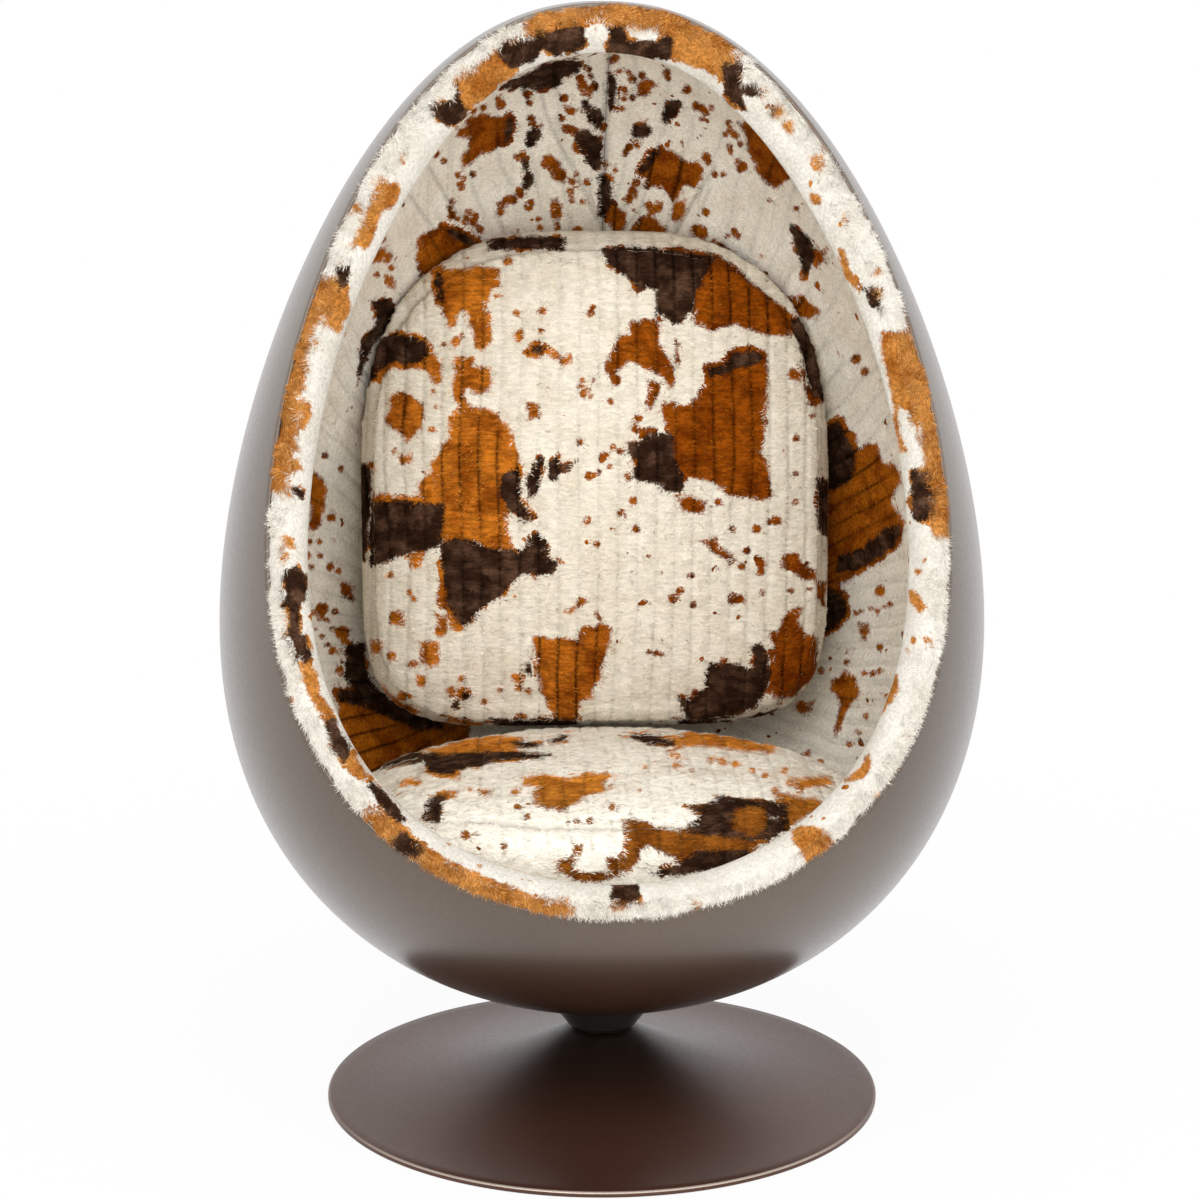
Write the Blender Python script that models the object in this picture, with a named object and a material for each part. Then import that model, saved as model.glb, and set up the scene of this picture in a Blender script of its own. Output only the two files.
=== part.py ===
"""Swivel armchair: an egg-shaped shell, lined and cushioned, on a round trumpet base.

Metres, +Z up, the sitter faces -Y. The origin is on the floor, on the swivel axis.
"""
import math

import bmesh
import bpy
import numpy as np
from mathutils import Matrix, Vector

# Gaps between pieces that touch, and between pieces that run on each other
TOUCH = 0.0003
RUN = 0.0003

# Egg shell: a turned egg with its front cut away
EGG_RADIUS = 0.430
EGG_BOTTOM = 0.125
EGG_TOP = 1.247
BELLY_DROP = 0.1316
BELLY_SKEW = 0.0743
ROUND_BOTTOM = 0.8407
ROUND_TOP = 0.9008
SHELL_WALL = 0.006

# Cut across the front, from its lip low on the egg to the top, bowed forward low down
CUT_AT_TOP = 0.0462
LIP_RISE = 0.2004
CUT_BOW = 0.0604
CUT_BOW_POWER = 5
HUB_SET_BACK = 0.250

# Upholstery inside the shell, as depths from the shell's outside
FUR_DEPTH = 0.048
FUR_THICKNESS = 0.0077
TRIM_DEPTH = 0.022
TRIM_PROUD = 0.011
TRIM_ROUND = 0.6
TRIM_SHARES = (0.10, 0.32, 0.62, 0.88)

# Seat deck inside the shell
DECK_BELOW_LIP = 0.0484
DECK_THICKNESS = 0.015
DECK_CLEARANCE = 0.008
RIB_THICKNESS = 0.015
RIB_CLEARANCE = 0.008
RIB_END_GAP = 0.0223
DECK_SCREW_INSET = 0.115
DECK_SCREW_SHAFT = 0.0020
DECK_SCREW_HEAD = 0.0042
DECK_SCREW_HEAD_HEIGHT = 0.0026
DECK_SCREW_LENGTH = 0.040

# Cushions
COVER_WALL = 0.006
SEAT_SIDE_GAP = 0.039
SEAT_FRONT_GAP = 0.075
SEAT_FRONT_REACH = 0.220
SEAT_REAR_GAP = 0.124
SEAT_SIDE_HEIGHT = 0.111
SEAT_CROWN = 0.026
SEAT_FRONT_SQUARE = 2.9
SEAT_BACK_SQUARE = 2.1
SEAT_TUCK = 0.94
BACK_SIDE_GAP = 0.0967
BACK_BOTTOM_RISE = 0.121
BACK_MIDDLE_RISE = 0.1106
BACK_TOP_DROP = 0.265
BACK_DEPTH = 0.110
BACK_FRONT_CROWN = 0.028
BACK_REAR_CROWN = 0.030
BACK_REAR_GAP = 0.1777
BACK_LEAN = 0.015
BACK_TOP_SQUARE = 3.0
BACK_BOTTOM_SQUARE = 5.3
SEAT_CLEARANCE = 0.0070
BACK_CLEARANCE = 0.0030
REST_CLEARANCE = 0.0006
BAND_BULGE = 0.006
EDGE_ROUND = 0.014
EDGE_SHARE = 0.94
FACE_SHARES = (0.34, 0.62, 0.82)
ZIP_WIDTH = 0.004
ZIP_LENGTH = 0.240
ZIP_SET_BACK = 0.0010
SEAT_ZIP_Y = 0.080
BACK_ZIP_DROP = 0.170
ZIP_STEPS = 6

# Base: floor pad, ballast plate and spun cover
BASE_RADIUS = 0.320
PAD_THICKNESS = 0.003
PLATE_SET_IN = 0.085
PLATE_THICKNESS = 0.005
COVER_SHEET = 0.003
COVER_EDGE_HEIGHT = 0.0068
COVER_EDGE_BEVEL = 0.0020
COVER_LIFT = 0.0010
NECK_TOP = 0.072
NECK_RING_WALL = 0.0029
NECK_RING_HEIGHT = 0.010
NECK_RING_SET_BACK = 0.0015
FLARE_POWER = 2.2
FLARE_SPACING = 0.75
FLARE_STEPS = 6

# Post that stands on the ballast plate
POST_RADIUS = 0.030
POST_WALL = 0.005
POST_RISE = 0.002
POST_FLANGE_THICKNESS = 0.006
POST_BOLT_MARGIN = 0.0072
POST_BOLT_SHAFT = 0.003
POST_BOLT_HEAD = 0.0058
POST_BOLT_HEAD_HEIGHT = 0.004

# Swivel: spindle, bushes and thrust bearing
SPINDLE_RADIUS = 0.015
SPINDLE_BOTTOM = 0.0165
BUSH_LENGTH = 0.012
RACE_THICKNESS = 0.0027
RACE_CLEARANCE = 0.0020
RACE_WIDTH = 0.0125
BALL_RADIUS = 0.0035
BALL_COUNT = 8
CAGE_THICKNESS = 0.0030
CAGE_SET_IN = 0.0010
CLIP_HEIGHT = 0.0045
CLIP_RADIUS = 0.0200
CLIP_THICKNESS = 0.0016
CLIP_GROOVE = 0.0015
WASHER_THICKNESS = 0.0020
WASHER_RADIUS = 0.0225
CLIP_OPENING = math.radians(50)

# Flange and bolts that carry the shell
FLANGE_THICKNESS = 0.0050
FLANGE_MARGIN = 0.0155
SEAT_FLAT_RISE = 0.0035
BOSS_MARGIN = 0.0060
BOSS_PROUD = 0.0045
BACKING_SET_IN = 0.0070
BACKING_THICKNESS = 0.0040
SHELL_BOLT_MARGIN = 0.0090
SHELL_BOLT_SHAFT = 0.0040
SHELL_BOLT_HEAD = 0.0075
SHELL_BOLT_HEAD_HEIGHT = 0.0053
SHELL_NUT_HEIGHT = 0.0065
SHELL_BOLT_END = 0.0020
RIB_NOTCH = 0.0570
RIB_NOTCH_HEIGHT = 0.0150
RIB_FOOT_SET_IN = 0.0020

# Collar that hides the swivel
COLLAR_GAP = 0.0035
COLLAR_STEP = 0.0005
COLLAR_WALL = 0.0030
COLLAR_CLEARANCE = 0.0050

# Fineness of the meshes
PROFILE_STEPS = 1441
EGG_COLUMNS = 36
EGG_ROWS = 13
ROUND_LARGE = 40
ROUND_MEDIUM = 24
ROUND_SMALL = 16
ROUND_FINE = 12
RIB_STEPS = 7
CLIP_STEPS = 18
COVER_COLUMNS = 32
CORE_COLUMNS = 16
BISECTIONS = 48
FARTHEST_RAY = 1.5
SMALLEST_ALPHA = math.radians(15)
LARGEST_ALPHA = math.radians(160)
SMOOTH_ANGLE = math.radians(35)


# Materials

def material(name, colour, roughness, metallic=0.0):
    made = bpy.data.materials.new(name)
    made.use_nodes = True
    shader = made.node_tree.nodes["Principled BSDF"]
    shader.inputs["Base Color"].default_value = (*colour, 1.0)
    shader.inputs["Roughness"].default_value = roughness
    shader.inputs["Metallic"].default_value = metallic
    return made


def make_materials():
    return {
        "lacquer": material("taupe_lacquer", (0.155, 0.125, 0.105), 0.38, 0.55),
        "collar": material("dark_collar", (0.022, 0.018, 0.015), 0.42, 0.30),
        "steel": material("zinc_steel", (0.55, 0.55, 0.54), 0.35, 1.0),
        "plate": material("black_steel", (0.05, 0.05, 0.05), 0.55, 0.8),
        "race": material("hardened_steel", (0.62, 0.62, 0.61), 0.20, 1.0),
        "nylon": material("white_nylon", (0.72, 0.70, 0.64), 0.50),
        "rubber": material("black_felt_rubber", (0.03, 0.03, 0.03), 0.90),
        "plywood": material("birch_plywood", (0.60, 0.43, 0.26), 0.65),
        "foam": material("cream_foam", (0.78, 0.72, 0.52), 0.95),
        "fur": material("cow_print_fur", (0.82, 0.77, 0.68), 0.95),
        "zip": material("brown_zip", (0.12, 0.07, 0.04), 0.60),
    }


# Mesh helpers

def finish(name, bm, surface, parent):
    """Turns a bmesh into a named object with its faces pointing out."""
    bmesh.ops.recalc_face_normals(bm, faces=bm.faces)
    mesh = bpy.data.meshes.new(name)
    bm.to_mesh(mesh)
    bm.free()
    mesh.materials.append(surface)
    mesh.shade_smooth()
    mesh.set_sharp_from_angle(angle=SMOOTH_ANGLE)
    made = bpy.data.objects.new(name, mesh)
    bpy.context.scene.collection.objects.link(made)
    made.parent = parent
    return made


def turned(name, outline, surface, parent, steps=ROUND_MEDIUM):
    """Spins a closed outline of (radius, height) points about the vertical axis."""
    bm = bmesh.new()
    corners = [bm.verts.new((radius, 0.0, height)) for radius, height in outline]
    edges = [bm.edges.new((corners[i - 1], corners[i])) for i in range(len(corners))]
    on_axis = [e for e in edges if max(v.co.x for v in e.verts) < 1e-7]
    edges = [e for e in edges if e not in on_axis]
    bmesh.ops.delete(bm, geom=on_axis, context="EDGES_FACES")
    bmesh.ops.spin(bm, geom=corners + edges, axis=(0, 0, 1), cent=(0, 0, 0),
                   angle=2 * math.pi, steps=steps, use_merge=True)
    bmesh.ops.remove_doubles(bm, verts=bm.verts, dist=1e-6)
    return finish(name, bm, surface, parent)


def tube_outline(inner, outer, bottom, top):
    return [(inner, bottom), (outer, bottom), (outer, top), (inner, top)]


def rod_outline(radius, bottom, top):
    return [(0.0, bottom), (radius, bottom), (radius, top), (0.0, top)]


def prism(name, outline, thickness, surface, parent):
    """Extrudes a closed outline of (across, height) points evenly about the X-Z plane."""
    bm = bmesh.new()
    corners = [bm.verts.new((across, -thickness / 2, height)) for across, height in outline]
    face = bm.faces.new(corners)
    moved = bmesh.ops.extrude_face_region(bm, geom=[face])
    verts = [v for v in moved["geom"] if isinstance(v, bmesh.types.BMVert)]
    bmesh.ops.translate(bm, verts=verts, vec=(0.0, thickness, 0.0))
    return finish(name, bm, surface, parent)


def cutter(name, build):
    """Makes a hidden guide solid for Boolean cuts from a function that fills a bmesh."""
    bm = bmesh.new()
    build(bm)
    bmesh.ops.recalc_face_normals(bm, faces=bm.faces)
    mesh = bpy.data.meshes.new(name)
    bm.to_mesh(mesh)
    bm.free()
    made = bpy.data.objects.new(name, mesh)
    bpy.context.scene.collection.objects.link(made)
    made.hide_render = True
    made.display_type = "WIRE"
    return made


def add_cylinder(bm, radius, bottom, top, centre=(0.0, 0.0), segments=ROUND_SMALL):
    place = Matrix.Translation((centre[0], centre[1], (bottom + top) / 2))
    bmesh.ops.create_cone(bm, cap_ends=True, segments=segments, radius1=radius,
                          radius2=radius, depth=top - bottom, matrix=place)


def add_box(bm, low, high):
    middle = [(a + b) / 2 for a, b in zip(low, high)]
    size = [b - a for a, b in zip(low, high)]
    place = Matrix.Translation(middle) @ Matrix.Diagonal((*size, 1.0))
    bmesh.ops.create_cube(bm, size=1.0, matrix=place)


def boolean(target, tool, operation="DIFFERENCE"):
    modifier = target.modifiers.new(tool.name, "BOOLEAN")
    modifier.operation = operation
    modifier.object = tool


def ring_places(radius, count=4, start=math.pi / 4):
    turns = [start + 2 * math.pi * i / count for i in range(count)]
    return [(radius * math.cos(turn), radius * math.sin(turn)) for turn in turns]


# Egg geometry

def egg_profile():
    """Radius, height and outward normal of the egg's outline, from bottom to top."""
    theta = np.linspace(0.0, math.pi, PROFILE_STEPS)
    sine = np.sin(theta)
    cosine = np.cos(theta)
    power = ROUND_BOTTOM + (ROUND_TOP - ROUND_BOTTOM) * (1 - cosine) / 2
    radius = EGG_RADIUS * np.clip(sine, 0.0, 1.0) ** power
    middle = (EGG_TOP + EGG_BOTTOM) / 2
    half = (EGG_TOP - EGG_BOTTOM) / 2
    height = middle - half * cosine - (BELLY_DROP - BELLY_SKEW * cosine) * sine ** 2
    slope_r = np.gradient(radius)
    slope_z = np.gradient(height)
    length = np.hypot(slope_r, slope_z)
    return radius, height, slope_z / length, -slope_r / length


egg_r, egg_z, egg_nr, egg_nz = egg_profile()


def egg_radius(height):
    return np.interp(height, egg_z, egg_r, left=0.0, right=0.0)


def layer_radius(height, depth):
    """Radius, at a height, of the surface that lies depth inside the egg."""
    radius = egg_r - depth * egg_nr
    level = egg_z - depth * egg_nz
    order = np.argsort(level)
    return np.interp(height, level[order], radius[order])


lip_z = EGG_BOTTOM + LIP_RISE
lip_reach = float(egg_radius(lip_z))


def cut_y(height):
    """Where the front cut passes, at a height."""
    share = (EGG_TOP - height) / (EGG_TOP - lip_z)
    lean = (lip_reach - CUT_AT_TOP - CUT_BOW) * share
    return -(CUT_AT_TOP + lean + CUT_BOW * share ** CUT_BOW_POWER)


top_point = np.array([0.0, -CUT_AT_TOP, EGG_TOP])
lip_point = np.array([0.0, -lip_reach, lip_z])
chord = (top_point - lip_point) / np.linalg.norm(top_point - lip_point)
facing = np.array([0.0, -chord[2], chord[1]])
hub_point = (top_point + lip_point) / 2 - HUB_SET_BACK * facing
belly_z = float(egg_z[np.argmax(egg_r)])


def bowl_height(radius, depth):
    """Height, at a radius, of the surface that lies depth inside the egg's lower half."""
    low = egg_z < belly_z
    across = (egg_r - depth * egg_nr)[low]
    level = (egg_z - depth * egg_nz)[low]
    return float(np.interp(radius, across, level))


# Radii that follow from the sizes above
post_bore = POST_RADIUS - POST_WALL
post_bolt_circle = POST_RADIUS + POST_BOLT_MARGIN + POST_BOLT_HEAD
post_flange_radius = post_bolt_circle + POST_BOLT_HEAD + POST_BOLT_MARGIN
neck_radius = POST_RADIUS + 2 * TOUCH + NECK_RING_WALL + COVER_SHEET
race_inner = SPINDLE_RADIUS + RACE_CLEARANCE
race_outer = race_inner + RACE_WIDTH
ball_circle = (race_inner + race_outer) / 2
hub_radius = race_outer - CAGE_SET_IN
shell_bolt_circle = hub_radius + SHELL_BOLT_MARGIN + SHELL_BOLT_HEAD
mount_radius = shell_bolt_circle + SHELL_BOLT_HEAD + FLANGE_MARGIN
collar_bottom_radius = neck_radius + COLLAR_STEP
collar_top_radius = mount_radius + COLLAR_CLEARANCE + COLLAR_WALL
boss_radius = collar_top_radius + BOSS_MARGIN
backing_radius = boss_radius - BACKING_SET_IN
rib_foot = backing_radius - RIB_FOOT_SET_IN

# Heights that follow from the sizes above
plate_bottom = PAD_THICKNESS + TOUCH
plate_top = plate_bottom + PLATE_THICKNESS
flange_top = plate_top + TOUCH + POST_FLANGE_THICKNESS
post_top = NECK_TOP + POST_RISE
lower_race_bottom = post_top + TOUCH
ball_height = lower_race_bottom + RACE_THICKNESS + RUN + BALL_RADIUS
upper_race_bottom = ball_height + BALL_RADIUS + RUN
hub_bottom = upper_race_bottom + RACE_THICKNESS + TOUCH
shell_seat = EGG_BOTTOM + SEAT_FLAT_RISE
collar_bottom = NECK_TOP + COLLAR_GAP
mount_top = shell_seat - TOUCH
mount_bottom = mount_top - FLANGE_THICKNESS
boss_top = bowl_height(boss_radius, SHELL_WALL) + BOSS_PROUD
backing_bottom = boss_top + TOUCH
backing_top = backing_bottom + BACKING_THICKNESS
deck_top = lip_z - DECK_BELOW_LIP
deck_bottom = deck_top - DECK_THICKNESS
rib_top = deck_bottom - TOUCH
clip_bottom = SPINDLE_BOTTOM + CLIP_HEIGHT
washer_bottom = clip_bottom + CLIP_THICKNESS + TOUCH
lower_bush_bottom = washer_bottom + WASHER_THICKNESS + RUN
upper_bush_bottom = post_top - BUSH_LENGTH


def directions(alpha, beta):
    """Rays from the hub point: alpha from the opening's normal, beta around it."""
    side = np.array([1.0, 0.0, 0.0])
    ring = np.cos(beta)[..., None] * side + np.sin(beta)[..., None] * chord
    return np.cos(alpha)[..., None] * facing + np.sin(alpha)[..., None] * ring


def hits(alpha, beta):
    """Points where the rays leave the egg."""
    rays = directions(alpha, beta)
    low = np.zeros(alpha.shape)
    high = np.full(alpha.shape, FARTHEST_RAY)
    for _ in range(BISECTIONS):
        middle = (low + high) / 2
        points = hub_point + middle[..., None] * rays
        outside = np.hypot(points[..., 0], points[..., 1]) > egg_radius(points[..., 2])
        high = np.where(outside, middle, high)
        low = np.where(outside, low, middle)
    return hub_point + low[..., None] * rays


def at_depth(points, depth):
    """Moves points of the egg's surface inwards, square to it."""
    turn = np.arctan2(points[..., 1], points[..., 0])
    across = np.interp(points[..., 2], egg_z, egg_nr)
    upward = np.interp(points[..., 2], egg_z, egg_nz)
    normal = np.stack([across * np.cos(turn), across * np.sin(turn), upward], axis=-1)
    return points - depth * normal


def cut_alpha(beta, behind):
    """Ray angle at which the egg's surface lies behind the front cut by a distance."""
    low = np.full(beta.shape, SMALLEST_ALPHA)
    high = np.full(beta.shape, LARGEST_ALPHA)
    for _ in range(BISECTIONS):
        middle = (low + high) / 2
        points = hits(middle, beta)
        front = points[..., 1] < cut_y(points[..., 2]) + behind
        low = np.where(front, middle, low)
        high = np.where(front, high, middle)
    return (low + high) / 2


def column_angles():
    return np.arange(EGG_COLUMNS) * 2 * math.pi / EGG_COLUMNS


def egg_rows():
    """Rows of surface points from the opening's edge towards the back, and the last point."""
    beta = column_angles()
    edge = cut_alpha(beta, 0.0)
    behind_trim = cut_alpha(beta, TRIM_DEPTH)
    rows = [hits(edge, beta)]
    for row in range(EGG_ROWS):
        share = row / EGG_ROWS
        rows.append(hits(behind_trim + (math.pi - behind_trim) * share, beta))
    pole = hits(np.array([math.pi]), np.array([0.0]))[0]
    return rows, pole


def add_loop(bm, points):
    return [bm.verts.new(Vector(point)) for point in points]


def join_loops(bm, first, second):
    """Faces between two closed loops, split the same way on every layer."""
    for i in range(len(first)):
        bm.faces.new((first[i - 1], first[i], second[i]))
        bm.faces.new((first[i - 1], second[i], second[i - 1]))


def close_loop(bm, loop, tip):
    for i in range(len(loop)):
        bm.faces.new((loop[i - 1], loop[i], tip))


def layer(name, rows, pole, outer, inner, surface, parent):
    """Closed sheet between two depths inside the egg, open at the front."""
    bm = bmesh.new()
    edges = []
    for depth in (outer, inner):
        loops = [add_loop(bm, at_depth(row, depth)) for row in rows]
        tip = bm.verts.new(Vector(at_depth(pole, depth)))
        for first, second in zip(loops, loops[1:]):
            join_loops(bm, first, second)
        close_loop(bm, loops[-1], tip)
        edges.append(loops[0])
    join_loops(bm, edges[0], edges[1])
    return finish(name, bm, surface, parent)


# Rounds with a hexagonal part, such as bolts and nuts

def ring_of(radius, height, hexagonal):
    """Points around the vertical: a circle, or a hexagon of that corner radius."""
    points = []
    for i in range(ROUND_FINE):
        turn = 2 * math.pi * i / ROUND_FINE
        reach = radius
        if hexagonal:
            off_corner = (turn + math.pi / 6) % (math.pi / 3) - math.pi / 6
            reach *= math.cos(math.pi / 6) / math.cos(math.pi / 6 - abs(off_corner))
        points.append((reach * math.cos(turn), reach * math.sin(turn), height))
    return points


def lofted(name, rings, surface, parent, at, capped):
    """Joins rings of (radius, height, hexagonal); a ring's ends are capped or meet."""
    bm = bmesh.new()
    loops = [add_loop(bm, ring_of(*ring)) for ring in rings]
    for first, second in zip(loops, loops[1:]):
        join_loops(bm, first, second)
    if capped:
        bm.faces.new(loops[0])
        bm.faces.new(loops[-1])
    else:
        join_loops(bm, loops[-1], loops[0])
    made = finish(name, bm, surface, parent)
    made.location = (at[0], at[1], 0.0)
    return made


def bolt(name, shaft, head, head_height, seat, end, surface, parent, at):
    """Hexagon bolt: its head bears on the height seat and its shaft runs to end."""
    crown = seat + head_height if end < seat else seat - head_height
    rings = [(head, crown, True), (head, seat, True), (shaft, seat, False), (shaft, end, False)]
    return lofted(name, rings, surface, parent, at, capped=True)


# Base

def make_base(paint, root):
    pad_radius = BASE_RADIUS - COVER_SHEET - 2 * TOUCH
    turned("floor_pad", rod_outline(pad_radius, 0.0, PAD_THICKNESS),
           paint["rubber"], root, ROUND_LARGE)
    plate_radius = BASE_RADIUS - PLATE_SET_IN
    plate = turned("base_plate", rod_outline(plate_radius, plate_bottom, plate_top),
                   paint["plate"], root, ROUND_LARGE)
    make_cover(paint["lacquer"], root)
    post = turned("post_tube", [
        (post_bore, plate_top + TOUCH),
        (post_flange_radius, plate_top + TOUCH),
        (post_flange_radius, flange_top),
        (POST_RADIUS, flange_top),
        (POST_RADIUS, post_top),
        (post_bore, post_top)], paint["steel"], root)

    def holes(bm):
        for place in ring_places(post_bolt_circle):
            add_cylinder(bm, POST_BOLT_SHAFT + TOUCH, 0.0, NECK_TOP, place, ROUND_FINE)

    tool = cutter("post_bolt_holes", holes)
    boolean(plate, tool)
    boolean(post, tool)
    for number, place in enumerate(ring_places(post_bolt_circle), 1):
        bolt(f"post_bolt_{number}", POST_BOLT_SHAFT, POST_BOLT_HEAD, POST_BOLT_HEAD_HEIGHT,
             flange_top + TOUCH, plate_bottom, paint["steel"], root, place)
    neck_inside = neck_radius - COVER_SHEET - TOUCH
    ring_top = NECK_TOP - NECK_RING_SET_BACK
    turned("neck_ring",
           tube_outline(POST_RADIUS + TOUCH, neck_inside, ring_top - NECK_RING_HEIGHT, ring_top),
           paint["nylon"], root)


def make_cover(surface, root):
    """Spun trumpet cover: bevelled edge, flare and neck."""
    start = BASE_RADIUS - COVER_EDGE_BEVEL
    rise = NECK_TOP - COVER_EDGE_HEIGHT
    outside = [(BASE_RADIUS, COVER_LIFT),
               (BASE_RADIUS, COVER_EDGE_HEIGHT - COVER_EDGE_BEVEL)]
    inside = []
    for i in range(FLARE_STEPS + 1):
        share = (i / FLARE_STEPS) ** FLARE_SPACING
        radius = start + (neck_radius - start) * share
        outside.append((radius, COVER_EDGE_HEIGHT + rise * share ** FLARE_POWER))
        slope = FLARE_POWER * rise / (start - neck_radius) * share ** (FLARE_POWER - 1)
        lean = math.hypot(1.0, slope)
        inside.append((radius - COVER_SHEET * slope / lean,
                       outside[-1][1] - COVER_SHEET / lean))
    inside[-1] = (neck_radius - COVER_SHEET, NECK_TOP)
    inside[0] = (BASE_RADIUS - COVER_SHEET, COVER_EDGE_HEIGHT - COVER_SHEET)
    outline = outside + inside[::-1] + [(BASE_RADIUS - COVER_SHEET, COVER_LIFT)]
    turned("base_cover", outline, surface, root, ROUND_LARGE)


# Swivel

def make_swivel(paint, root, cage_axis, seat_axis):
    bore = SPINDLE_RADIUS + RUN
    outside = post_bore - TOUCH
    turned("lower_bush",
           tube_outline(bore, outside, lower_bush_bottom, lower_bush_bottom + BUSH_LENGTH),
           paint["nylon"], root)
    turned("upper_bush", tube_outline(bore, outside, upper_bush_bottom, post_top),
           paint["nylon"], root)
    turned("lower_race",
           tube_outline(race_inner, race_outer, lower_race_bottom,
                        lower_race_bottom + RACE_THICKNESS), paint["race"], root)
    turned("upper_race",
           tube_outline(race_inner, race_outer, upper_race_bottom,
                        upper_race_bottom + RACE_THICKNESS), paint["race"], seat_axis)
    make_balls(paint, cage_axis)
    make_spindle(paint, seat_axis)


def make_balls(paint, cage_axis):
    half = CAGE_THICKNESS / 2
    cage = turned("ball_cage",
                  tube_outline(race_inner + CAGE_SET_IN, race_outer - CAGE_SET_IN,
                               ball_height - half, ball_height + half),
                  paint["nylon"], cage_axis)
    places = ring_places(ball_circle, BALL_COUNT, 0.0)

    def pockets(bm):
        for place in places:
            add_cylinder(bm, BALL_RADIUS + RUN, lower_race_bottom, hub_bottom, place)

    boolean(cage, cutter("ball_pockets", pockets))
    for number, (x, y) in enumerate(places, 1):
        bm = bmesh.new()
        bmesh.ops.create_icosphere(bm, subdivisions=2, radius=BALL_RADIUS)
        ball = finish(f"bearing_ball_{number}", bm, paint["race"], cage_axis)
        ball.location = (x, y, ball_height)


def make_spindle(paint, seat_axis):
    groove = SPINDLE_RADIUS - CLIP_GROOVE
    clip_top = clip_bottom + CLIP_THICKNESS
    turned("swivel_spindle", [
        (0.0, SPINDLE_BOTTOM),
        (SPINDLE_RADIUS, SPINDLE_BOTTOM),
        (SPINDLE_RADIUS, clip_bottom - TOUCH),
        (groove, clip_bottom - TOUCH),
        (groove, clip_top + TOUCH),
        (SPINDLE_RADIUS, clip_top + TOUCH),
        (SPINDLE_RADIUS, hub_bottom),
        (hub_radius, hub_bottom),
        (hub_radius, mount_bottom),
        (mount_radius, mount_bottom),
        (mount_radius, mount_top),
        (0.0, mount_top)], paint["steel"], seat_axis)
    turned("retaining_washer",
           tube_outline(SPINDLE_RADIUS + TOUCH, WASHER_RADIUS, washer_bottom,
                        washer_bottom + WASHER_THICKNESS), paint["steel"], seat_axis)
    make_clip(groove + TOUCH, paint["race"], seat_axis)


def make_clip(inner, surface, seat_axis):
    """Open ring that snaps into the spindle's groove under the washer."""
    bm = bmesh.new()
    start = CLIP_OPENING / 2
    sweep = 2 * math.pi - CLIP_OPENING
    loops = []
    for i in range(CLIP_STEPS + 1):
        turn = start + sweep * i / CLIP_STEPS
        section = tube_outline(inner, CLIP_RADIUS, clip_bottom, clip_bottom + CLIP_THICKNESS)
        loops.append(add_loop(bm, [(r * math.cos(turn), r * math.sin(turn), z)
                                   for r, z in section]))
    for first, second in zip(loops, loops[1:]):
        join_loops(bm, first, second)
    bm.faces.new(loops[0])
    bm.faces.new(loops[-1])
    finish("retaining_clip", bm, surface, seat_axis)


# Shell and what fastens it

def make_shell(paint, seat_axis, rows, pole):
    shell = layer("egg_shell", rows, pole, 0.0, SHELL_WALL, paint["lacquer"], seat_axis)
    boss = cutter("shell_boss", lambda bm: add_cylinder(
        bm, boss_radius, shell_seat - SHELL_WALL / 4, boss_top, segments=ROUND_MEDIUM))
    flat = cutter("shell_seat_flat", lambda bm: add_cylinder(
        bm, boss_radius + SHELL_WALL, collar_bottom, shell_seat, segments=ROUND_MEDIUM))

    bore = SHELL_BOLT_SHAFT + TOUCH

    def holes(bm):
        for place in ring_places(shell_bolt_circle):
            add_cylinder(bm, bore, collar_bottom, deck_bottom, place, ROUND_FINE)

    bolt_holes = cutter("shell_bolt_holes", holes)
    boolean(shell, boss, "UNION")
    boolean(shell, flat)
    boolean(shell, bolt_holes)
    boolean(bpy.data.objects["swivel_spindle"], bolt_holes)
    backing = turned("backing_plate", rod_outline(backing_radius, backing_bottom, backing_top),
                     paint["steel"], seat_axis)
    boolean(backing, bolt_holes)
    nut_bottom = backing_top + TOUCH
    nut_top = nut_bottom + SHELL_NUT_HEIGHT
    for number, place in enumerate(ring_places(shell_bolt_circle), 1):
        bolt(f"shell_bolt_{number}", SHELL_BOLT_SHAFT, SHELL_BOLT_HEAD, SHELL_BOLT_HEAD_HEIGHT,
             mount_bottom - TOUCH, nut_top + SHELL_BOLT_END, paint["steel"], seat_axis, place)
        lofted(f"shell_nut_{number}",
               [(bore, nut_bottom, False), (SHELL_BOLT_HEAD, nut_bottom, True),
                (SHELL_BOLT_HEAD, nut_top, True), (bore, nut_top, False)],
               paint["steel"], seat_axis, place, capped=False)
    turned("swivel_collar", [
        (collar_bottom_radius - COLLAR_WALL, collar_bottom),
        (collar_bottom_radius, collar_bottom),
        (collar_top_radius, mount_top),
        (collar_top_radius - COLLAR_WALL, mount_top)], paint["collar"], seat_axis, ROUND_LARGE)


# Seat deck

def rib_outline(slot_at_top):
    reach = layer_radius(rib_top, SHELL_WALL + RIB_CLEARANCE) - RIB_END_GAP
    foot = backing_top + TOUCH
    notch = backing_top + RIB_NOTCH_HEIGHT
    half = RIB_THICKNESS / 2 + TOUCH
    middle = (notch + rib_top) / 2
    right = [(reach, rib_top)]
    for i in range(RIB_STEPS + 1):
        radius = reach + (rib_foot - reach) * i / RIB_STEPS
        right.append((radius, max(bowl_height(radius, SHELL_WALL + RIB_CLEARANCE), foot)))
    right += [(RIB_NOTCH, foot), (RIB_NOTCH, notch)]
    left = [(-across, height) for across, height in reversed(right)]
    if slot_at_top:
        base = middle - TOUCH
        return right + left + [(-half, rib_top), (-half, base), (half, base), (half, rib_top)]
    roof = middle + TOUCH
    return right + [(half, notch), (half, roof), (-half, roof), (-half, notch)] + left


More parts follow.
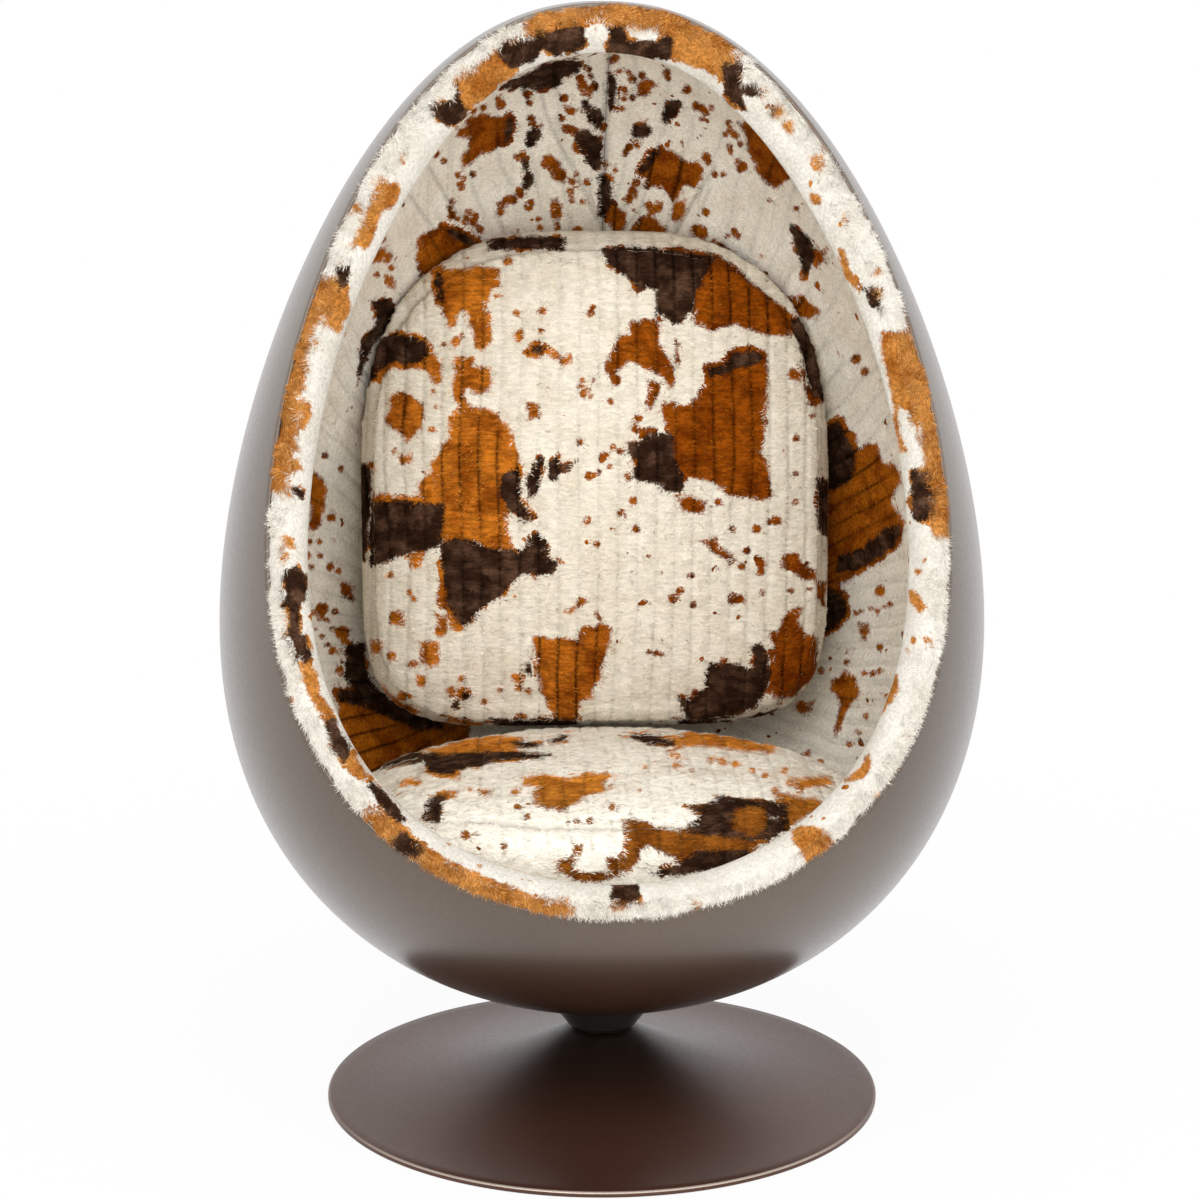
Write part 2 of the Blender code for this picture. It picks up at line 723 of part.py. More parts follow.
def make_deck(paint, seat_axis):
    deck_radius = layer_radius(deck_bottom, SHELL_WALL) - DECK_CLEARANCE
    deck = turned("seat_deck", rod_outline(deck_radius, deck_bottom, deck_top),
                  paint["plywood"], seat_axis, ROUND_LARGE)
    long_rib = prism("deck_rib_long", rib_outline(True), RIB_THICKNESS,
                     paint["plywood"], seat_axis)
    long_rib.rotation_euler.z = math.pi / 2
    cross_rib = prism("deck_rib_cross", rib_outline(False), RIB_THICKNESS,
                      paint["plywood"], seat_axis)
    places = ring_places(deck_radius - DECK_SCREW_INSET, 4, 0.0)
    tip = deck_top - DECK_SCREW_LENGTH

    def holes(bm):
        for place in places:
            add_cylinder(bm, DECK_SCREW_SHAFT + TOUCH, tip - TOUCH, deck_top + TOUCH, place,
                         ROUND_FINE)

    def sinks(bm):
        for x, y in places:
            low = deck_top - DECK_SCREW_HEAD_HEIGHT - TOUCH
            high = deck_top + TOUCH
            place = Matrix.Translation((x, y, (low + high) / 2))
            bmesh.ops.create_cone(bm, cap_ends=True, segments=ROUND_FINE,
                                  radius1=DECK_SCREW_SHAFT + TOUCH,
                                  radius2=DECK_SCREW_HEAD + 3 * TOUCH,
                                  depth=high - low, matrix=place)

    hole_tool = cutter("deck_screw_holes", holes)
    sink_tool = cutter("deck_screw_sinks", sinks)
    for piece in (deck, long_rib, cross_rib):
        boolean(piece, hole_tool)
    boolean(deck, sink_tool)
    head_top = deck_top - TOUCH
    for number, place in enumerate(places, 1):
        lofted(f"deck_screw_{number}",
               [(DECK_SCREW_HEAD, head_top, False),
                (DECK_SCREW_SHAFT, head_top - DECK_SCREW_HEAD_HEIGHT, False),
                (DECK_SCREW_SHAFT, tip, False)],
               paint["steel"], seat_axis, place, capped=True)


# Upholstery fixed to the shell

def make_lining(paint, seat_axis, rows, pole):
    padding_inner = FUR_DEPTH - FUR_THICKNESS - TOUCH
    padding = layer("shell_padding", rows[1:], pole, SHELL_WALL + TOUCH, padding_inner,
                    paint["foam"], seat_axis)
    floor_level = deck_top + TOUCH
    reach = EGG_RADIUS + TRIM_DEPTH
    below = cutter("below_the_deck", lambda bm: add_box(
        bm, (-reach, -reach, 0.0), (reach, reach, floor_level)))
    boolean(padding, below)
    for name, side in (("fur_lining_left", -1), ("fur_lining_right", 1)):
        panel = layer(name, rows[1:], pole, padding_inner + TOUCH, FUR_DEPTH,
                      paint["fur"], seat_axis)
        low, high = sorted((side * TOUCH, -side * reach))
        other_half = cutter(f"{name}_other_half", lambda bm, low=low, high=high: add_box(
            bm, (low, -reach, 0.0), (high, reach, EGG_TOP + TRIM_DEPTH)))
        boolean(panel, below)
        boolean(panel, other_half)


def make_trim(paint, seat_axis):
    """Padded fur roll that closes the front edge between the shell and the lining."""
    beta = column_angles()
    low = SHELL_WALL + 2 * TOUCH
    width = FUR_DEPTH - low
    back = TRIM_DEPTH - 2 * TOUCH
    section = [(low, back), (low, 0.0)]
    for share in TRIM_SHARES:
        proud = TRIM_PROUD * math.sin(math.pi * share) ** TRIM_ROUND
        section.append((low + width * share, -proud))
    section += [(FUR_DEPTH, 0.0), (FUR_DEPTH, back)]
    bm = bmesh.new()
    loops = []
    for depth, behind in section:
        surface_points = hits(cut_alpha(beta, behind), beta)
        loops.append(add_loop(bm, at_depth(surface_points, depth)))
    for first, second in zip(loops, loops[1:]):
        join_loops(bm, first, second)
    join_loops(bm, loops[-1], loops[0])
    finish("rim_trim", bm, paint["fur"], seat_axis)


# Cushions

class Pad:
    """A crowned cushion form in its own plane: across, along and through."""

    def __init__(self, half_width, ahead, behind, square_ahead, square_behind,
                 half_depth, crown_front, crown_rear, tuck):
        self.half_width = half_width
        self.reach = (ahead, behind)
        self.square = (square_ahead, square_behind)
        self.half_depth = half_depth
        self.crown = (crown_front, crown_rear)
        self.tuck = tuck

    def side(self, along):
        return 0 if along >= 0 else 1

    def gauge(self, across, along):
        """0 at the middle and 1 on the outline."""
        side = self.side(along)
        power = self.square[side]
        total = abs(across / self.half_width) ** power + abs(along / self.reach[side]) ** power
        return total ** (1 / power)

    def outline(self, turn, inset):
        side = self.side(math.sin(turn))
        power = 2 / self.square[side]
        across = (self.half_width - inset) * math.copysign(abs(math.cos(turn)) ** power,
                                                           math.cos(turn))
        along = (self.reach[side] - inset) * math.copysign(abs(math.sin(turn)) ** power,
                                                           math.sin(turn))
        return across, along

    def face(self, share, front):
        """Distance of a face from the middle plane, before the edge's rounding."""
        crown = self.crown[0 if front else 1]
        return self.half_depth + crown * (1 - share ** 2)

    def rings(self, inset):
        """Rings of (scale, through) from the front's middle to the rear's."""
        shares = (*FACE_SHARES, EDGE_SHARE)
        made = [(share, self.face(share, True) - inset) for share in shares]
        flank = self.half_depth - inset - EDGE_ROUND
        made.append((1.0, flank))
        made.append(((1 + self.tuck) / 2 + BAND_BULGE / self.half_width, 0.0))
        made.append((self.tuck, -flank))
        made += [(share * self.tuck, inset - self.face(share, False))
                 for share in reversed(shares)]
        return made


def pad_surface(bm, pad, inset, columns, place):
    """Closed surface of a pad, drawn in by an inset and set in the chair by place."""
    loops = []
    for scale, through in pad.rings(inset):
        points = []
        for i in range(columns):
            across, along = pad.outline(2 * math.pi * i / columns, inset)
            points.append(place(across * scale, along * scale, through, inset))
        loops.append(add_loop(bm, points))
    for first, second in zip(loops, loops[1:]):
        join_loops(bm, first, second)
    front = bm.verts.new(Vector(place(0.0, 0.0, pad.face(0.0, True) - inset, inset)))
    rear = bm.verts.new(Vector(place(0.0, 0.0, inset - pad.face(0.0, False), inset)))
    close_loop(bm, loops[0], front)
    close_loop(bm, loops[-1], rear)


def make_cushion(name, pad, place, paint, parent, slot):
    """Cover with a zip slot, and the foam inside it."""
    bm = bmesh.new()
    pad_surface(bm, pad, 0.0, COVER_COLUMNS, place)
    cover = finish(f"{name}_cover", bm, paint["fur"], parent)
    hollow = cutter(f"{name}_hollow",
                    lambda bm: pad_surface(bm, pad, COVER_WALL, CORE_COLUMNS, place))
    boolean(cover, hollow)
    boolean(cover, cutter(f"{name}_zip_slot", lambda bm: add_box(bm, *slot)))
    bm = bmesh.new()
    pad_surface(bm, pad, COVER_WALL + TOUCH, CORE_COLUMNS, place)
    finish(f"{name}_foam", bm, paint["foam"], parent)


seat_underside = deck_top + 2 * TOUCH
seat_middle_height = seat_underside + SEAT_SIDE_HEIGHT / 2
seat_room = float(layer_radius(seat_middle_height, FUR_DEPTH))
seat_half_width = seat_room - SEAT_SIDE_GAP
seat_middle = SEAT_FRONT_GAP + SEAT_FRONT_REACH - lip_reach
seat_back = seat_room - SEAT_REAR_GAP
back_bottom = deck_top + BACK_BOTTOM_RISE
back_middle = belly_z + BACK_MIDDLE_RISE
back_top = EGG_TOP - BACK_TOP_DROP
back_room = float(layer_radius(back_middle, FUR_DEPTH))
back_half_width = back_room - BACK_SIDE_GAP
back_centre_y = back_room - BACK_REAR_GAP


def seat_pad():
    return Pad(seat_half_width, seat_back - seat_middle, SEAT_FRONT_REACH,
               SEAT_BACK_SQUARE, SEAT_FRONT_SQUARE, SEAT_SIDE_HEIGHT / 2, SEAT_CROWN, 0.0,
               SEAT_TUCK)


def back_pad():
    return Pad(back_half_width, back_top - back_middle, back_middle - back_bottom,
               BACK_TOP_SQUARE, BACK_BOTTOM_SQUARE, BACK_DEPTH / 2, BACK_FRONT_CROWN,
               BACK_REAR_CROWN, 1.0)


def place_in_bowl(across, along, through, inset):
    """Seat cushion: lies flat on the deck and keeps clear of the lining around it."""
    x, y, z = across, along + seat_middle, through + seat_middle_height
    room = layer_radius(z, FUR_DEPTH) - SEAT_CLEARANCE - inset
    reach = math.hypot(x, y)
    if reach > room:
        x, y = x * room / reach, y * room / reach
    return x, y, z


def seat_top(x, y):
    """Height of the seat cushion's upper face."""
    share = seat_pad().gauge(x, y - seat_middle)
    if share >= 1:
        return seat_underside
    crown = seat_pad().face(min(share, EDGE_SHARE), True)
    fall = max(0.0, share - EDGE_SHARE) / (1 - EDGE_SHARE)
    return seat_middle_height + crown - fall * (EDGE_ROUND + crown - SEAT_SIDE_HEIGHT / 2)


def place_against_back(across, along, through, inset):
    """Back cushion: stands on the seat cushion and leans into the lining."""
    x, z = across, along + back_middle
    lean = BACK_LEAN * along / (back_top - back_middle)
    y = back_centre_y + lean - through
    room = layer_radius(z, FUR_DEPTH) - BACK_CLEARANCE - inset
    y = min(y, math.sqrt(max(room ** 2 - x ** 2, 0.0)))
    z = max(z, seat_top(x, y) + REST_CLEARANCE + inset)
    return x, y, z


def make_cushions(paint, seat_axis):
    half = ZIP_LENGTH / 2
    gap = ZIP_WIDTH / 2
    seat = seat_pad()
    slot = ((-half, SEAT_ZIP_Y - gap, seat_underside - COVER_WALL),
            (half, SEAT_ZIP_Y + gap, seat_underside + COVER_WALL + TOUCH))
    make_cushion("seat_cushion", seat, place_in_bowl, paint, seat_axis, slot)
    strip = [(x, SEAT_ZIP_Y, seat_underside + ZIP_SET_BACK) for x in zip_stations()]
    make_zip("seat_zip", strip, (0.0, 0.0, 1.0), paint["zip"], seat_axis)

    back = back_pad()
    zip_z = back_middle - BACK_ZIP_DROP
    rear = back_centre_y + BACK_DEPTH / 2
    slot = ((-half, rear - 2 * COVER_WALL, zip_z - gap),
            (half, rear + BACK_REAR_CROWN + COVER_WALL, zip_z + gap))
    make_cushion("back_cushion", back, place_against_back, paint, seat_axis, slot)
    strip = []
    for x in zip_stations():
        share = back.gauge(x, -BACK_ZIP_DROP)
        point = place_against_back(x, -BACK_ZIP_DROP, -back.face(share, False), 0.0)
        strip.append((point[0], point[1] - ZIP_SET_BACK, point[2]))
    make_zip("back_zip", strip, (0.0, -1.0, 0.0), paint["zip"], seat_axis)


def zip_stations():
    half = ZIP_LENGTH / 2 - TOUCH
    return [half * (2 * i / ZIP_STEPS - 1) for i in range(ZIP_STEPS + 1)]


def make_zip(name, line, inward, surface, parent):
    """Strip that follows a line along X, set into the cover's wall."""
    inward = Vector(inward)
    half = inward.cross(Vector((1, 0, 0))) * (ZIP_WIDTH / 2 - TOUCH)
    depth = inward * (COVER_WALL - 2 * ZIP_SET_BACK)
    bm = bmesh.new()
    loops = []
    for point in line:
        start = Vector(point)
        loops.append(add_loop(bm, (start - half, start + half, start + half + depth,
                                   start - half + depth)))
    for first, second in zip(loops, loops[1:]):
        join_loops(bm, first, second)
    bm.faces.new(loops[0])
    bm.faces.new(loops[-1])
    finish(name, bm, surface, parent)


def add_empty(name, parent=None):
    made = bpy.data.objects.new(name, None)
    bpy.context.scene.collection.objects.link(made)
    made.parent = parent
    return made


def main():
    for old in list(bpy.data.objects):
        bpy.data.objects.remove(old, do_unlink=True)
    paint = make_materials()
    root = add_empty("base_frame")
    cage_axis = add_empty("cage_axis", root)
    seat_axis = add_empty("swivel_axis", root)
    rows, pole = egg_rows()
    make_base(paint, root)
    make_swivel(paint, root, cage_axis, seat_axis)
    make_shell(paint, seat_axis, rows, pole)
    make_deck(paint, seat_axis)
    make_lining(paint, seat_axis, rows, pole)
    make_trim(paint, seat_axis)
    make_cushions(paint, seat_axis)


main()
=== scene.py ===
"""Swivel armchair: egg shell in satin lacquer, cow-print fur inside, on a trumpet base."""
from functools import reduce
import math

import bmesh
import bpy
import numpy as np
from mathutils import Matrix, Vector


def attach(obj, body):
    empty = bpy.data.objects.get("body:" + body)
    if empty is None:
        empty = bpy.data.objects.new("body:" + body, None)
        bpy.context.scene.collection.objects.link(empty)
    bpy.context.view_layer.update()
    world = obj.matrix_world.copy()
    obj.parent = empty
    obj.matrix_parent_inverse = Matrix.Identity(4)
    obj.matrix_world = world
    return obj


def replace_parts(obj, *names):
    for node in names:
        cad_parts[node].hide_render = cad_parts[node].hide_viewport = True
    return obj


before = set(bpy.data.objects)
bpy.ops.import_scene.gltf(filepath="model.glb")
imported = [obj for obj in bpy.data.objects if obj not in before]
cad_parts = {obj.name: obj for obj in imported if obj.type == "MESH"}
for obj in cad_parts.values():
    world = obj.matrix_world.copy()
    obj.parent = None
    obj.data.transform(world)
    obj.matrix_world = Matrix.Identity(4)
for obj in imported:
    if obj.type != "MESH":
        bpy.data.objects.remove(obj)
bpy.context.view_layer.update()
scene = bpy.context.scene
scene.view_settings.view_transform = "Standard"

# Sizes that the CAD gives, in metres
EGG_RADIUS = 0.430
EGG_BOTTOM = 0.125
EGG_TOP = 1.247
BELLY_DROP = 0.1316
BELLY_SKEW = 0.0743
ROUND_BOTTOM = 0.8407
ROUND_TOP = 0.9008
SHELL_WALL = 0.006
CUT_AT_TOP = 0.0462
CUT_BOW = 0.0604
CUT_BOW_POWER = 5
LIP_Z = 0.3254
HUB_SET_BACK = 0.250
SHELL_SEAT = 0.1285
FUR_DEPTH = 0.048
TRIM_PROUD = 0.011
DECK_TOP = 0.277
SEAT_UNDER = 0.2776

SEAT_MIDDLE_Y = -0.0802
SEAT_MIDDLE_Z = 0.3331
SEAT_SEAM_Y = -0.268
SEAT_HALF_WIDTH = 0.2850
SEAT_TO_REAR = 0.2802
SEAT_TO_FRONT = 0.220
SEAT_ROUND_REAR = 2.1
SEAT_ROUND_FRONT = 2.9
SEAT_HALF_DEPTH = 0.0555
SEAT_CROWN = 0.026
PAD_EDGE = 0.014
PAD_FACE = 0.94
BACK_CENTRE_Y = 0.1950
BACK_MIDDLE_Z = 0.665
BACK_TOP = 0.982
BACK_BOTTOM = 0.398
BACK_SEAM = 0.038
BACK_LEAN = 0.015
BACK_HALF_WIDTH = 0.2760

# Camera fitted to the photograph, whose frame is 1200 by 1200
CAMERA_YAW = -0.0398
CAMERA_AWAY = 3.0
CAMERA_HEIGHT = 1.1631
CAMERA_PITCH = 0.1908
FOCAL_PIXELS = 2694.86
CENTRE_X = 601.9
FRAME_PIXELS = 1200.0
SENSOR = 36.0

eye = np.array([math.sin(CAMERA_YAW) * CAMERA_AWAY, -math.cos(CAMERA_YAW) * CAMERA_AWAY,
                CAMERA_HEIGHT])
ahead = np.array([-math.sin(CAMERA_YAW) * math.cos(CAMERA_PITCH),
                  math.cos(CAMERA_YAW) * math.cos(CAMERA_PITCH), -math.sin(CAMERA_PITCH)])
right = np.array([math.cos(CAMERA_YAW), math.sin(CAMERA_YAW), 0.0])
upward = np.cross(right, ahead)


def make_camera():
    data = bpy.data.cameras.new("camera")
    data.sensor_width = SENSOR
    data.lens = FOCAL_PIXELS * SENSOR / FRAME_PIXELS
    data.shift_x = -(CENTRE_X - FRAME_PIXELS / 2) / FRAME_PIXELS
    made = bpy.data.objects.new("camera", data)
    scene.collection.objects.link(made)
    turn = Matrix((right, upward, -ahead)).transposed().to_4x4()
    made.matrix_world = Matrix.Translation(Vector(eye)) @ turn
    scene.camera = made


def seen_at(points):
    """Where points fall in the photograph's frame."""
    away = points - eye
    depth = away @ ahead
    across = CENTRE_X + FOCAL_PIXELS * (away @ right) / depth
    down = FRAME_PIXELS / 2 - FOCAL_PIXELS * (away @ upward) / depth
    return across, down


def toward_eye(points, outward):
    """1 where a surface faces the photograph's camera, 0 edge-on, -1 where it faces away."""
    view = eye - points
    return np.sum(view / np.linalg.norm(view, axis=1)[:, None] * outward, axis=1)


# Egg geometry

def egg_profile():
    """Radius, height and outward normal along the egg's outline, from its foot to its top."""
    theta = np.linspace(0.0, math.pi, 1441)
    sine = np.sin(theta)
    cosine = np.cos(theta)
    power = ROUND_BOTTOM + (ROUND_TOP - ROUND_BOTTOM) * (1 - cosine) / 2
    radius = EGG_RADIUS * np.clip(sine, 0.0, 1.0) ** power
    half = (EGG_TOP - EGG_BOTTOM) / 2
    height = (EGG_TOP + EGG_BOTTOM) / 2 - half * cosine
    height = height - (BELLY_DROP - BELLY_SKEW * cosine) * sine ** 2
    slope_r = np.gradient(radius)
    slope_z = np.gradient(height)
    length = np.hypot(slope_r, slope_z)
    return radius, height, slope_z / length, -slope_r / length


egg_r, egg_z, egg_nr, egg_nz = egg_profile()


def egg_radius(height):
    """Radius of the egg's outside at a height."""
    return np.interp(height, egg_z, egg_r, left=0.0, right=0.0)


def layer_radius(height, depth):
    """Radius, at a height, of the surface that lies depth inside the egg."""
    radius = egg_r - depth * egg_nr
    level = egg_z - depth * egg_nz
    order = np.argsort(level)
    return np.interp(height, level[order], radius[order])


lip_reach = float(egg_radius(LIP_Z))


def cut_y(height):
    """Where the front cut stands at a height."""
    share = (EGG_TOP - height) / (EGG_TOP - LIP_Z)
    lean = (lip_reach - CUT_AT_TOP - CUT_BOW) * share
    return -(CUT_AT_TOP + lean + CUT_BOW * share ** CUT_BOW_POWER)


top_point = np.array([0.0, -CUT_AT_TOP, EGG_TOP])
lip_point = np.array([0.0, -lip_reach, LIP_Z])
chord = (top_point - lip_point) / np.linalg.norm(top_point - lip_point)
facing = np.array([0.0, -chord[2], chord[1]])
hub_point = (top_point + lip_point) / 2 - HUB_SET_BACK * facing


def hits(alpha, beta):
    """Points where rays from the hub leave the egg: alpha from the opening's normal."""
    side = np.array([1.0, 0.0, 0.0])
    ring = np.cos(beta)[..., None] * side + np.sin(beta)[..., None] * chord
    rays = np.cos(alpha)[..., None] * facing + np.sin(alpha)[..., None] * ring
    low = np.zeros(alpha.shape)
    high = np.full(alpha.shape, 1.5)
    for _ in range(34):
        middle = (low + high) / 2
        points = hub_point + middle[..., None] * rays
        outside = np.hypot(points[..., 0], points[..., 1]) > egg_radius(points[..., 2])
        high = np.where(outside, middle, high)
        low = np.where(outside, low, middle)
    return hub_point + low[..., None] * rays


def egg_normals(points):
    """Outward normals of the egg beside points."""
    turn = np.arctan2(points[..., 1], points[..., 0])
    across = np.interp(points[..., 2], egg_z, egg_nr)
    up = np.interp(points[..., 2], egg_z, egg_nz)
    return np.stack([across * np.cos(turn), across * np.sin(turn), up], axis=-1)


def at_depth(points, depth):
    """Moves points of the egg's surface inwards, square to it."""
    depth = np.broadcast_to(depth, points.shape[:-1])
    return points - depth[..., None] * egg_normals(points)


def cut_alpha(beta, behind):
    """Ray angle at which the egg's surface lies behind the front cut by a distance."""
    low = np.full(beta.shape, math.radians(15))
    high = np.full(beta.shape, math.radians(160))
    for _ in range(30):
        middle = (low + high) / 2
        points = hits(middle, beta)
        front = points[..., 1] < cut_y(points[..., 2]) + behind
        low = np.where(front, middle, low)
        high = np.where(front, high, middle)
    return (low + high) / 2


# Noise and mesh helpers

def noise(points, size, seed):
    """Smooth noise from -1 to 1 with cells of a given size, per point."""
    place = points / size + seed * 7.31
    cell = np.floor(place).astype(np.int64)
    share = place - cell
    share = share * share * (3 - 2 * share)
    total = np.zeros(len(points))
    for corner in np.ndindex(2, 2, 2):
        at = cell + np.array(corner)
        mixed = at[:, 0] * 374761393 + at[:, 1] * 668265263 + at[:, 2] * 1274126177
        mixed = (mixed + seed * 144269504) & 0xFFFFFFFF
        mixed = ((mixed ^ (mixed >> 13)) * 1103515245) & 0xFFFFFFFF
        mixed = mixed ^ (mixed >> 16)
        value = (mixed & 0xFFFF) / 32767.5 - 1.0
        weight = np.prod(np.where(np.array(corner) == 1, share, 1 - share), axis=1)
        total += value * weight
    return total


def smooth(value, low, high):
    share = np.clip((value - low) / (high - low), 0.0, 1.0)
    return share * share * (3 - 2 * share)


def ridge(turns):
    """Round-topped ribs with sharp grooves: 0 in the groove, 1 on the crest."""
    share = turns - np.floor(turns)
    return np.sqrt(np.clip(1 - (2 * share - 1) ** 4, 0.0, 1.0))


def add_mesh(name, points, faces, surface, body="seat"):
    """Object from an array of points and an array of faces of one size."""
    mesh = bpy.data.meshes.new(name)
    size = faces.shape[1]
    mesh.vertices.add(len(points))
    mesh.vertices.foreach_set("co", np.ascontiguousarray(points, np.float32).ravel())
    mesh.loops.add(faces.size)
    mesh.loops.foreach_set("vertex_index", np.ascontiguousarray(faces, np.int32).ravel())
    mesh.polygons.add(len(faces))
    mesh.polygons.foreach_set("loop_start", np.arange(0, faces.size, size, dtype=np.int32))
    mesh.update(calc_edges=True)
    mesh.validate()
    mesh.shade_smooth()
    mesh.materials.append(surface)
    made = bpy.data.objects.new(name, mesh)
    scene.collection.objects.link(made)
    if body:
        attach(made, body)
    return made


def grid_faces(rows, columns, wrap):
    """Four-cornered faces between rows of points, closed into rings where they wrap."""
    row = np.arange(rows - 1)[:, None]
    column = np.arange(columns if wrap else columns - 1)[None, :]
    following = (column + 1) % columns
    faces = np.stack([row * columns + column, row * columns + following,
                      (row + 1) * columns + following, (row + 1) * columns + column], axis=-1)
    return faces.reshape(-1, 4)


def lathe(name, outline, surface, body, columns=192):
    """Spins a closed outline of (radius, height) points about the vertical axis."""
    turn = np.arange(columns) * 2 * math.pi / columns
    profile = np.array(outline + outline[:1])
    points = np.stack([profile[:, :1] * np.cos(turn), profile[:, :1] * np.sin(turn),
                       np.repeat(profile[:, 1:], columns, axis=1)], axis=-1)
    faces = grid_faces(len(profile), columns, True)
    faces = faces % ((len(profile) - 1) * columns)
    return add_mesh(name, points[:-1].reshape(-1, 3), faces, surface, body)


def coordinates(mesh):
    co = np.empty(len(mesh.vertices) * 3, np.float32)
    mesh.vertices.foreach_get("co", co)
    return co.reshape(-1, 3).astype(float)


def normals(mesh):
    values = np.empty(len(mesh.vertices) * 3, np.float32)
    mesh.vertex_normals.foreach_get("vector", values)
    return values.reshape(-1, 3).astype(float)


def set_coordinates(mesh, points):
    mesh.vertices.foreach_set("co", np.ascontiguousarray(points, np.float32).ravel())
    mesh.update()


def set_floats(mesh, name, values):
    layer = mesh.attributes.new(name, "FLOAT", "POINT")
    layer.data.foreach_set("value", np.ascontiguousarray(values, np.float32))


def set_vectors(mesh, name, values):
    layer = mesh.attributes.new(name, "FLOAT_VECTOR", "POINT")
    layer.data.foreach_set("vector", np.ascontiguousarray(values, np.float32).ravel())


def face_outwards(mesh, added=()):
    """Adds faces, given by their corners, and turns all faces of a closed mesh outwards."""
    bm = bmesh.new()
    bm.from_mesh(mesh)
    bm.verts.ensure_lookup_table()
    for corners in added:
        bm.faces.new([bm.verts[int(i)] for i in corners])
    bmesh.ops.recalc_face_normals(bm, faces=bm.faces)
    bm.to_mesh(mesh)
    bm.free()
    mesh.shade_smooth()


# Node helpers

def linear(red, green, blue):
    """Colour from its 0 to 255 values on screen."""
    def channel(value):
        value = value / 255
        return value / 12.92 if value <= 0.04045 else ((value + 0.055) / 1.055) ** 2.4
    return (channel(red), channel(green), channel(blue), 1.0)


class Nodes:
    """Short calls for building the nodes of a material or a world."""

    def __init__(self, owner):
        owner.use_nodes = True
        self.owner = owner
        self.tree = owner.node_tree
        self.shader = self.tree.nodes.get("Principled BSDF")

    def join(self, source, socket):
        if isinstance(source, (int, float, tuple)):
            socket.default_value = source
        else:
            self.tree.links.new(source, socket)

    def add(self, kind, **settings):
        node = self.tree.nodes.new(kind)
        for key, value in settings.items():
            setattr(node, key, value)
        return node

    def math(self, operation, first, second=0.0):
        node = self.add("ShaderNodeMath", operation=operation)
        self.join(first, node.inputs[0])
        self.join(second, node.inputs[1])
        return node.outputs[0]

    def times(self, *values):
        """The product of several values."""
        return reduce(lambda first, second: self.math("MULTIPLY", first, second), values)

    def plus(self, *values):
        """The sum of several values."""
        return reduce(lambda first, second: self.math("ADD", first, second), values)

    def spread(self, value, low, high, to_low=0.0, to_high=1.0):
        """Carries a value smoothly from one range to another."""
        node = self.add("ShaderNodeMapRange", interpolation_type="SMOOTHSTEP")
        for source, name in ((value, "Value"), (low, "From Min"), (high, "From Max"),
                             (to_low, "To Min"), (to_high, "To Max")):
            self.join(source, node.inputs[name])
        return node.outputs["Result"]

    def mix(self, share, first, second, blend="MIX"):
        node = self.add("ShaderNodeMix", data_type="RGBA", blend_type=blend)
        self.join(share, node.inputs[0])
        self.join(first, node.inputs[6])
        self.join(second, node.inputs[7])
        return node.outputs[2]

    def attribute(self, name, output="Fac"):
        return self.add("ShaderNodeAttribute", attribute_name=name).outputs[output]

    def place(self):
        return self.add("ShaderNodeTexCoord").outputs["Object"]

    def noise(self, vector, scale, detail=2.0, roughness=0.5, stretch=None):
        if stretch:
            mapping = self.add("ShaderNodeMapping")
            self.join(vector, mapping.inputs["Vector"])
            mapping.inputs["Scale"].default_value = stretch
            vector = mapping.outputs["Vector"]
        node = self.add("ShaderNodeTexNoise")
        self.join(vector, node.inputs["Vector"])
        node.inputs["Scale"].default_value = scale
        node.inputs["Detail"].default_value = detail
        node.inputs["Roughness"].default_value = roughness
        return node.outputs["Fac"]

    def swing(self, vector, scale, size):
        """Noise about zero."""
        return self.times(self.math("SUBTRACT", self.noise(vector, scale), 0.5), size)

    def split(self, vector):
        node = self.add("ShaderNodeSeparateXYZ")
        self.join(vector, node.inputs[0])
        return node.outputs

    def bump(self, height, strength, distance):
        node = self.add("ShaderNodeBump")
        node.inputs["Strength"].default_value = strength
        node.inputs["Distance"].default_value = distance
        self.join(height, node.inputs["Height"])
        self.join(node.outputs["Normal"], self.shader.inputs["Normal"])

    def set(self, **values):
        for key, value in values.items():
            self.join(value, self.shader.inputs[key.replace("_", " ")])
        return self.owner

    def seen_directly(self):
        """1 for rays from the camera, gloss and glass, 0 for those that light the object."""
        path = self.add("ShaderNodeLightPath").outputs
        seen = self.plus(path["Is Camera Ray"], path["Is Glossy Ray"],
                         path["Is Transmission Ray"])
        return self.math("MINIMUM", seen, 1.0)

    def blend(self, share, first, second, output):
        """Mixes two shaders into the output node of a given name."""
        node = self.add("ShaderNodeMixShader")
        for source, socket in zip((share, first, second), node.inputs):
            self.join(source, socket)
        self.join(node.outputs[0], self.tree.nodes[output].inputs["Surface"])


def new_nodes(name):
    return Nodes(bpy.data.materials.new(name))


FOOT_SHADE_FROM, FOOT_SHADE_TO = 0.19, 0.34
NECK_SHADE_FROM, NECK_SHADE_TO = 0.03, 0.24
BEVEL_HIGHLIGHT_FROM, BEVEL_HIGHLIGHT_TO = 0.3165, 0.3178
BEVEL_HIGHLIGHT_LOW, BEVEL_HIGHLIGHT_HIGH = 0.0050, 0.0056


